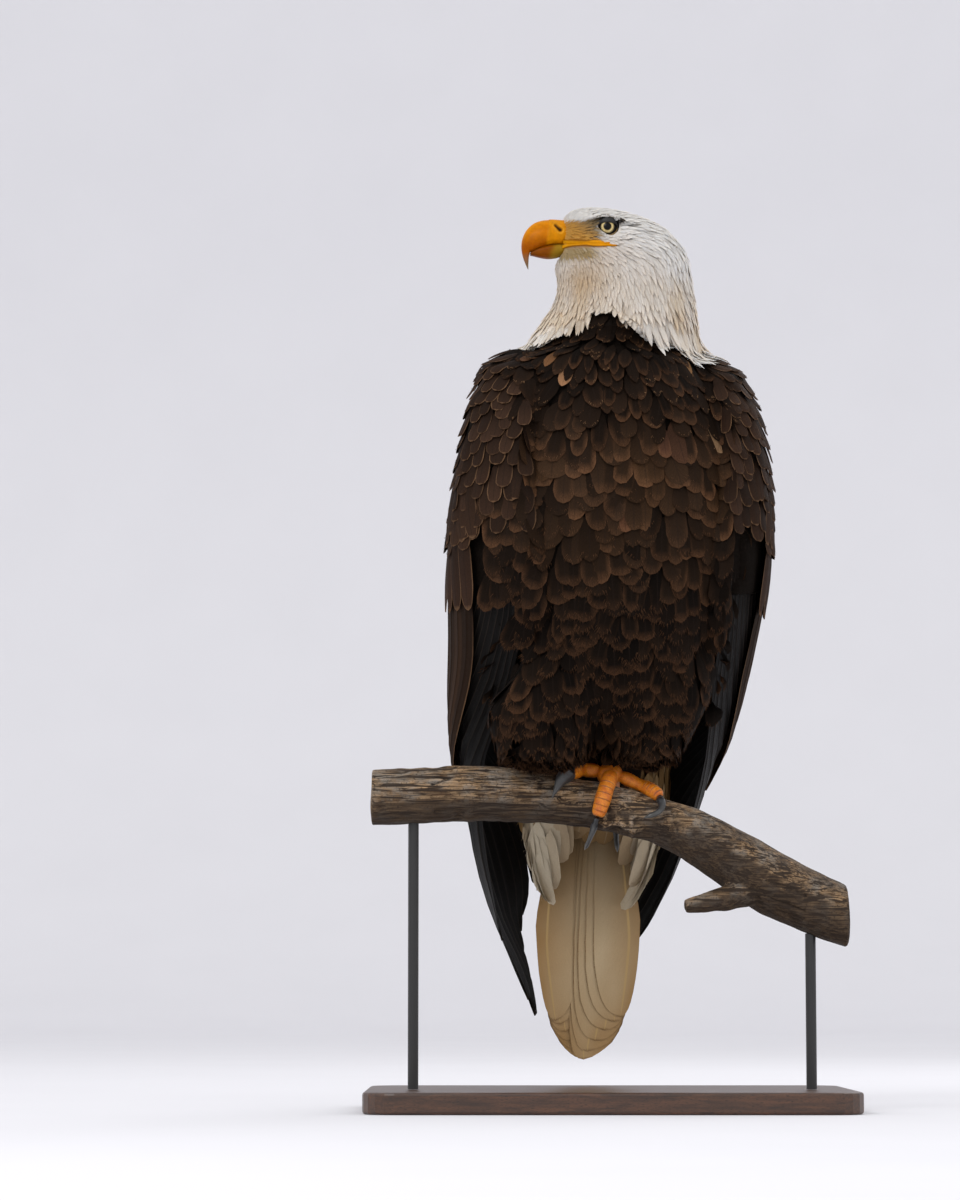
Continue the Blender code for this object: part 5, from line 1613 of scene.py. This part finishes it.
quill_web = np.maximum(web(blade["at"], full=0.2, tip=0.42), 0.02)[None]
covert_web = np.maximum(web(long_covert["at"], full=0.3, tip=0.5), 0.02)[None]
for side in ("left", "right"):
    random = np.random.default_rng(30)
    hand = 1 if side == "left" else -1
    # Primaries, from the outermost, which is undermost and frontmost, to the innermost.
    j = np.arange(10)
    u = paths(0.055 + 0.0125 * j, PRIMARY_TIP_ACROSS, blade, power=2.2)
    z = paths(0.278 + 0 * j, np.array(PRIMARY_TIPS), blade)
    depth = paths(0.80 + 0 * j, 0.80 - 0.068 * j, blade, power=0.6)
    made, out = on_wing(side, blade, u, z, 0.0068 * quill_web, 0.021 * quill_web, depth, lift=0.0,
                        bow=0.08, thick=0.0009, shaft=0.0006, ragged=0.02, seed=31)
    tone = varied(linear("#0f0d0c"), spread=0.25, count=10, seed=32)
    dark = (blade, made, out, made[:, 0], tone, 0.8)
    # Secondaries and the three tertials behind them.
    k = np.linspace(0, 1, 17)
    u = paths(0.225 + 0.75 * k**1.1, 0.215 + 0.75 * k**1.05, blade)
    z = paths(0.262 + 0.02 * k, 0.022 + 0.034 * k + random.uniform(-0.006, 0.006, 17), blade)
    depth = np.broadcast_to((0.16 - 0.12 * k)[:, None], u.shape)
    made, out = on_wing(side, blade, u, z, 0.0095 * quill_web, 0.0195 * quill_web, depth, lift=0.0004,
                        bow=0.10, thick=0.0009, shaft=0.0006, ragged=0.03, seed=33)
    tone = varied(linear("#36261b"), spread=0.3, count=17, seed=34)
    brown = (blade, made, out, made[:, 0], tone, random.uniform(0.4, 1, 17))
    piece = plumes(f"wing_{side}_primaries_shown", [dark], black_quill, 0.3)
    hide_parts(f"wing_{side}_primaries")
    piece = plumes(f"wing_{side}_secondaries_shown", [brown], wing_brown, 0.4)
    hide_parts(f"wing_{side}_secondaries")
    # Greater, median and scapular rows: count, across from and to, root and tip heights front and rear,
    # widths, lift.
    groups = []
    for number, (count, u0, u1, root, tip, front, rear, lift, colour) in enumerate((
        (18, 0.205, 0.975, (0.285, 0.300), (0.180, 0.212), 0.0085, 0.0135, 0.0012, "#33231a"),
        (21, 0.160, 0.975, (0.318, 0.330), (0.240, 0.258), 0.0080, 0.0110, 0.0022, "#332319"),
        (7, 0.760, 0.980, (0.330, 0.345), (0.110, 0.150), 0.0110, 0.0140, 0.0032, "#33261b"),
    )):
        k = np.linspace(0, 1, count)
        wobble = random.uniform(-0.008, 0.008, count)
        u = paths(u0 + (u1 - u0) * k, u0 + (u1 - u0) * k + wobble, long_covert)
        z = paths(root[0] + (root[1] - root[0]) * k, tip[0] + (tip[1] - tip[0]) * k + wobble, long_covert)
        height = lift - 0.0045 * (1 - long_covert["at"][None]) ** 2 + 0 * u
        made, out = on_wing(side, long_covert, u, z, front * covert_web, rear * covert_web, 0.0, height,
                            bow=0.16, thick=0.0007, shaft=0.0003, ragged=0.05, seed=35 + number)
        tone = varied(linear(colour), spread=0.3, count=count, seed=38 + number)
        groups.append((long_covert, made, out, made[:, 0], tone, random.uniform(0.35, 1, count)))
    # Small coverts, scattered up to the shoulder.
    points, normal = scattered(wing_forms[side], count=9000, seed=52)
    own = in_bird(points) * (hand, 1, 1)
    turn = np.arctan2(own[:, 0], WING_AXIS_Y - own[:, 1])
    ends = [np.interp(own[:, 2], wing_levels, wing_limits[:, i]) for i in (0, 1)]
    u = held((turn - ends[0]) / (ends[1] - ends[0]))
    on_face = np.linalg.norm(own - wing_place(u, own[:, 2]), axis=1) < 0.006
    ok = on_face & (own[:, 2] > np.where(u < 0.17, 0.285, 0.268)) & (own[:, 2] < top - 0.004)
    points, own = points[ok], own[ok]
    order = np.argsort(-own[:, 2] + 0.01 * random.random(len(own)))
    points, own = points[order], own[order]
    small = held((own[:, 2] - 0.28) / 0.13)
    keep = thinned(points, 0.0122 - 0.0032 * small)
    points, own, small = points[keep], own[keep], small[keep]
    count = len(points)
    length = (0.042 - 0.013 * small) * random.uniform(0.9, 1.1, count)
    width = (0.0112 - 0.0028 * small) * random.uniform(0.9, 1.1, count)
    spine, along, out = laid(points, length, down_wing, wing_forms[side], stations, sink=0.0040, rise=0.0020,
                             tilt=random.normal(0, 0.10, count))
    half = width[:, None] * np.maximum(web(stations, full=0.45, tip=0.5), 0.03)[None]
    made = vanes(contour, spine, along, out, half, half,
                 bow=0.20, thick=0.0005, shaft=0.0, ragged=0.08, seed=54)
    tone = varied(linear("#2f2017"), spread=0.42, count=count, seed=55)
    groups.append((contour, made, out, points, tone, random.uniform(0.2, 0.9, count)))
    groups.append(loose_barbs(spine, along, out, half, points, tone * 1.5, 0.5, each=7, reach=0.0018,
                              from_share=0.13, seed=56))
    plumes(f"wing_{side}_coverts_shown", groups, wing_brown)

# ---------------------------------------------------------------- body feathers
# Blackish-brown feathers with paler worn edges shingle down the breast, back and thighs: narrow and
# pointed under the hood, broad and round on the belly, frayed and loose round the legs.

BODY_BANDS = [0.03, 0.07, 0.13, 0.22, 0.33, 0.40, 0.46]


def down_body(points):
    """Down the body, drifting out from the breastbone and back under the belly."""
    own = in_bird(points)
    away = np.clip(own[:, 0] / 0.12, -1, 1)
    way = np.column_stack([0.16 * away, 0.18 + 0 * away, -np.ones(len(own))])
    return way @ BIRD


brown_feather = feather_finish(
    "dark brown body feather", barbs=30.0, edge_tint="#6e4c34", edge_from=0.42, edge_reach=0.76,
    roughness=0.75, shaft_tint="#1d1511", root_shade=0.50, gloss=0.05, comb_depth=0.34, shaft_share=0.35)

points, normal = scattered(envelope, count=90000, seed=60)
away = distances(points)
own = in_bird(points)
above = over_hood_edge(points)
near_body = (away["body"] < 0.006) | ((away["body"] < 0.013) & (own[:, 2] > 0.17) & (own[:, 1] < 0))
# On the right side the breast's feathers hang out over the front of the wing.
flap = (np.abs(own[:, 0] + 0.112) < 0.016) & (own[:, 1] < -0.02) & (np.abs(own[:, 2] - 0.258) < 0.045)
near_body = near_body | flap
skirt = (away["hood"] < 0.006) & (above < 0.010)
foot_clear = np.linalg.norm(points - foot_middle, axis=1) > 0.006
ok = (near_body | skirt) & foot_clear & (own[:, 2] > 0.034) & (above < 0.016)
points, own = points[ok], own[ok]
order = np.random.default_rng(61).permutation(len(points))
points, own = points[order], own[order]
gap = np.interp(own[:, 2], BODY_BANDS, [0.0072, 0.0088, 0.0100, 0.0108, 0.0108, 0.0092, 0.0066])
keep = thinned(points * (1, 1, 0.80), gap)
points = points[keep]
# A few more hang from the thigh over the shank.
cover = np.stack(np.meshgrid(np.linspace(-0.018, 0.018, 9), [-0.045], [0.036, 0.046, 0.056]), axis=-1)
points = np.concatenate([points, from_bird(in_bird(foot_middle[None]) + cover.reshape(-1, 3))])
own = in_bird(points)
random = np.random.default_rng(62)
count = len(points)
length = np.interp(own[:, 2], BODY_BANDS, [0.026, 0.033, 0.039, 0.043, 0.043, 0.037, 0.029])
by_shank = np.exp(-np.sum(((own - in_bird(foot_middle[None])) / (0.032, 0.09, 0.07)) ** 2, axis=1))
length = (length + 0.034 * by_shank) * random.uniform(0.80, 1.20, count)
width = np.interp(own[:, 2], BODY_BANDS, [0.0092, 0.0120, 0.0148, 0.0165, 0.0160, 0.0120, 0.0072])
width = width * np.exp(random.normal(0, 0.14, count))
point = held((own[:, 2] - 0.35) / 0.07)[:, None]
# Under the hood's edge the brown feathers are tucked in, so that the white ones end over them.
tuck = held((over_hood_edge(points) + 0.012) / 0.016)
lift = random.uniform(0.0001, 0.0010, count) - 0.0030 * tuck
tilt = random.normal(0, 0.15, count)
sink = 0.0042 + 0.0016 * tuck
spine, along, out = laid(points, length, down_body, envelope, stations, sink, lift, curve=1.3, tilt=tilt)
# Low on the belly and round the leg they hang free of the body.
hang = np.maximum(0.85 * held((0.105 - own[:, 2]) / 0.05), held(1.6 * by_shank))
hang = hang * (own[:, 1] < 0.03)
reach = np.minimum(length, np.maximum(own[:, 2] - 0.031, 0.014))
t = stations[None, :, None]
fall_way = np.array([0.0, -0.20, 0.0]) * by_shank[:, None, None] - (0.0, 0.0, 1.0)
fall = spine[:, :1] + fall_way * reach[:, None, None] * t
spine = spine + (fall - spine) * hang[:, None, None] * t
along, out = squared(spine, out)
round_web = web(stations, full=0.55, tip=0.55, blunt=3.4)[None]
sharp_web = (web(stations, full=0.45, tip=0.5) * (1 - 0.65 * stations**3))[None]
half = width[:, None] * np.maximum(round_web * (1 - point) + sharp_web * point, 0.03)
bow = random.uniform(0.10, 0.22, count)
made = vanes(contour, spine, along, out, half, half, bow,
             thick=0.0005, shaft=0.0, ragged=0.12, seed=63)
# Painted shade: the feathers are darkened low on the belly, which faces down, and high under the hood's
# overhang; their pale edges fade there too.
high = held((own[:, 2] - 0.33) / 0.07)
low = held((0.33 - own[:, 2]) / 0.13)
patch = value_noise(points / 0.035, 66) * 0.5 + 0.5
tone = mixed("#3c2919", "#241a13", patch)
tone = mixed(tone, "#281c14", high * 0.8)
tone = mixed(tone, "#291d14", low * 0.8)
tone = tone * random.uniform(0.5, 1.5, (count, 1)) * (1 - 0.72 * low - 0.55 * high)[:, None]
worn = np.clip(random.normal(0.34, 0.40, count), 0.02, 1) * (1 - 0.55 * low) * (1 - 0.5 * high)
# A few feathers are bleached tan or rusty: places across and up, as seen from the front.
for x, z, colour in ((-0.060, 0.381, "#8a6548"), (0.040, 0.316, "#4a3124"), (0.046, 0.308, "#432d20"),
                     (0.087, 0.330, "#7d6248"), (0.073, 0.399, "#7b5a3a"), (-0.093, 0.408, "#4a3325"),
                     (-0.073, 0.408, "#6b4a30"), (-0.006, 0.243, "#4f3424")):
    front = in_bird(spine[:, -2])
    apart = np.hypot(front[:, 0] - x, front[:, 2] - z) + (front[:, 1] > 0) * 1.0
    tone[np.argmin(apart)] = linear(colour)[:3]
# Near the hood many end in a pale tan point.
tipped = (high * (random.random(count) < 0.4))[:, None]
barb_tone = tone * 1.15 * (1 - tipped) + linear("#6d563e")[:3] * tipped
barb_count = 15
barbs = loose_barbs(spine, along, out, half, points, barb_tone, 0.6, each=barb_count,
                    reach=0.0022 + 0.0036 * low[:, None], from_share=0.22, seed=65)
front_side = own[:, 1] < 0.03
for name, pick in (
    ("breast", front_side & (own[:, 2] > 0.25)),
    ("belly", front_side & (own[:, 2] <= 0.25)),
    ("back", ~front_side),
):
    many = np.repeat(pick, barb_count)
    groups = [(contour, *(rows[pick] for rows in (made, out, points, tone, worn))),
              (sliver, *(rows[many] for rows in barbs[1:5]), barbs[5])]
    plumes(f"{name}_feathers", groups, brown_feather, 0.7)

# ---------------------------------------------------------------- hood
# White feathers: fine and close on the face and crown, longer and pointed on the nape, and loose hackles
# down the neck, creamy and ragged where they end over the brown breast.


def off_face(points):
    """Away from the root of the bill over the head, turning down the neck."""
    own = in_head(points)
    away = unit(own - (40.0, 0.0, -6.0))
    fall = held((-own[:, 2] - 12) / 60) + held((-own[:, 0] - 40) / 50)
    fall = held(fall)[:, None]
    way = away * (1 - fall) + np.array([-0.12, 0.0, -1.0]) * fall
    return way @ HEAD


white_plume = feather_finish(
    "white hood feather", barbs=16.0, edge_tint="#f2ece2", edge_from=0.5, edge_reach=0.75, roughness=0.75,
    shaft_tint="#cdbfa6", root_shade=0.94, gloss=0.06, comb_depth=0.08, shaft_share=0.12, glow=0.45)
hackle = vane_plan((-1, 0, 1), (0,), np.array([0, 0.2, 0.45, 0.68, 0.86, 1.0]))
tiny = vane_plan((-1, 0, 1), (0,), np.array([0, 0.35, 0.75, 1.0]))
FACE_STEPS = [0, 12, 30, 50, 80, 110, 150]
hood_points = []
for form, count, seed in ((hood_form, 150000, 70), (envelope, 120000, 73)):
    points, normal = scattered(form, count, seed)
    own = in_head(points)
    split = own[:, 2] + 62
    ok = (split > 0) if form is hood_form else (split <= 0)
    away = np.linalg.norm(points - snapped(points, hood_form), axis=1)
    ok = ok & ((away < 0.012) | (over_hood_edge(points) > 0.015))
    hood_points.append(points[ok])
points = np.concatenate(hood_points)
own = in_head(points)
ahead, over = off_eye(own)
on_flank = np.abs(own[:, 1]) > 9
socket = on_flank & (over < brow_line(ahead) - 0.6) & (over > -9.6 + 0.06 * ahead**2)
socket = socket & (ahead > -9.8) & (ahead < 11.5)
beak = (own[:, 0] > 41.5) & (own[:, 2] > -25)
off_gape = over - gape_line(ahead)
lips = on_flank & (off_gape < np.interp(ahead, [-6, 5, 25, 45], [2.2, 4.0, 5.0, 5.8]))
lips = lips & (off_gape > -np.interp(ahead, [-6, 5, 25, 45], [1.2, 2.2, 3.0, 4.0])) & (ahead > -6)
ok = ~socket & ~beak & ~lips & (over_hood_edge(points) > 0.006)
points, own, ahead, over, on_flank = points[ok], own[ok], ahead[ok], over[ok], on_flank[ok]
face_away = np.linalg.norm(own - (40, 0, -6), axis=1)
above = over_hood_edge(points)
length = np.interp(face_away, FACE_STEPS, [3.0, 4.5, 8.0, 13, 24, 32, 36]) / 1000
length = np.minimum(length, np.maximum(above * 0.9 + 0.012, 0.018))
# At the lower edge they end in clumps: bright teeth of about 10 mm.
clump = value_noise(points / np.array([0.0120, 0.0120, 0.040]), 77)
length = length + 0.011 * np.clip(clump * 2.0, -0.6, 0.9) * held((0.034 - above) / 0.014)
by_eye = held(1 - (np.hypot(ahead, over) - 10) / 8) * on_flank
length = length * (1 - 0.5 * by_eye)
gap = np.interp(face_away, FACE_STEPS, [1.15, 1.35, 1.75, 2.3, 3.5, 4.3, 4.6]) / 1000 * (1 - 0.45 * by_eye)
keep = thinned(points, gap)
points, own, length, face_away, above = points[keep], own[keep], length[keep], face_away[keep], above[keep]
ahead, over, on_flank = ahead[keep], over[keep], on_flank[keep]
random = np.random.default_rng(71)
length = length * random.uniform(0.85, 1.2, len(points))
width = np.interp(face_away, FACE_STEPS, [0.9, 1.2, 1.8, 2.5, 3.8, 4.8, 5.2]) / 1000
tones = hood_colour_and_brow_shade(points) * random.uniform(0.93, 1.05, (len(points), 1))
face = face_away < 46
for name, plan, pick in (
    ("face_feathers", tiny, face & (face_away < 33)),
    ("crown_feathers", tiny, face & (face_away >= 33)),
    ("nape_hackles", hackle, ~face & (above > 0.075)),
    ("neck_hackles", hackle, ~face & (above <= 0.075)),
):
    roots, count = points[pick], pick.sum()
    rise = np.interp(face_away[pick], [0, 30, 80, 150], [0.0003, 0.0005, 0.0010, 0.0018])
    rise = rise * random.uniform(0.3, 1.2, count)
    sink = np.interp(face_away[pick], [0, 30, 80, 150], [0.0005, 0.0008, 0.0016, 0.0022])
    form = envelope if name == "neck_hackles" else hood_form
    rise = rise + 0.0022 * held((0.022 - above[pick]) / 0.014)
    tilt = random.normal(0, 0.07, count)
    spine, along, out = laid(roots, length[pick], off_face, form, plan["at"], sink, rise, curve=1.2,
                             tilt=tilt)
    if name == "neck_hackles":
        # Straightened, as each hackle is stiff and bridges the hollow over the shoulder: a curve by its
        # two ends and its first direction.
        t = plan["at"][None, :, None]
        elbow = spine[:, :1] + along[:, :1] * length[pick][:, None, None] * 0.5
        spine = spine[:, :1] * (1 - t) ** 2 + elbow * 2 * t * (1 - t) + spine[:, -1:] * t**2
        along, out = squared(spine, unit(out[:, :1] * (1 - t) + out[:, -1:] * t))
    shape = web(plan["at"], full=0.35, tip=0.5) * (1 - 0.80 * plan["at"] ** 2.5)
    half = width[pick][:, None] * np.maximum(shape, 0.04)[None]
    made = vanes(plan, spine, along, out, half, half,
                 bow=0.10, thick=0.0003, shaft=0.0, ragged=0.05, seed=72)
    plumes(name, [(plan, made, out, roots, tones[pick], 0.0)], white_plume, 0.75)

# ---------------------------------------------------------------- the end
# The forms that the feathers were laid on are taken away.

for form in {envelope, *REGIONS.values()}:
    bpy.data.objects.remove(form)
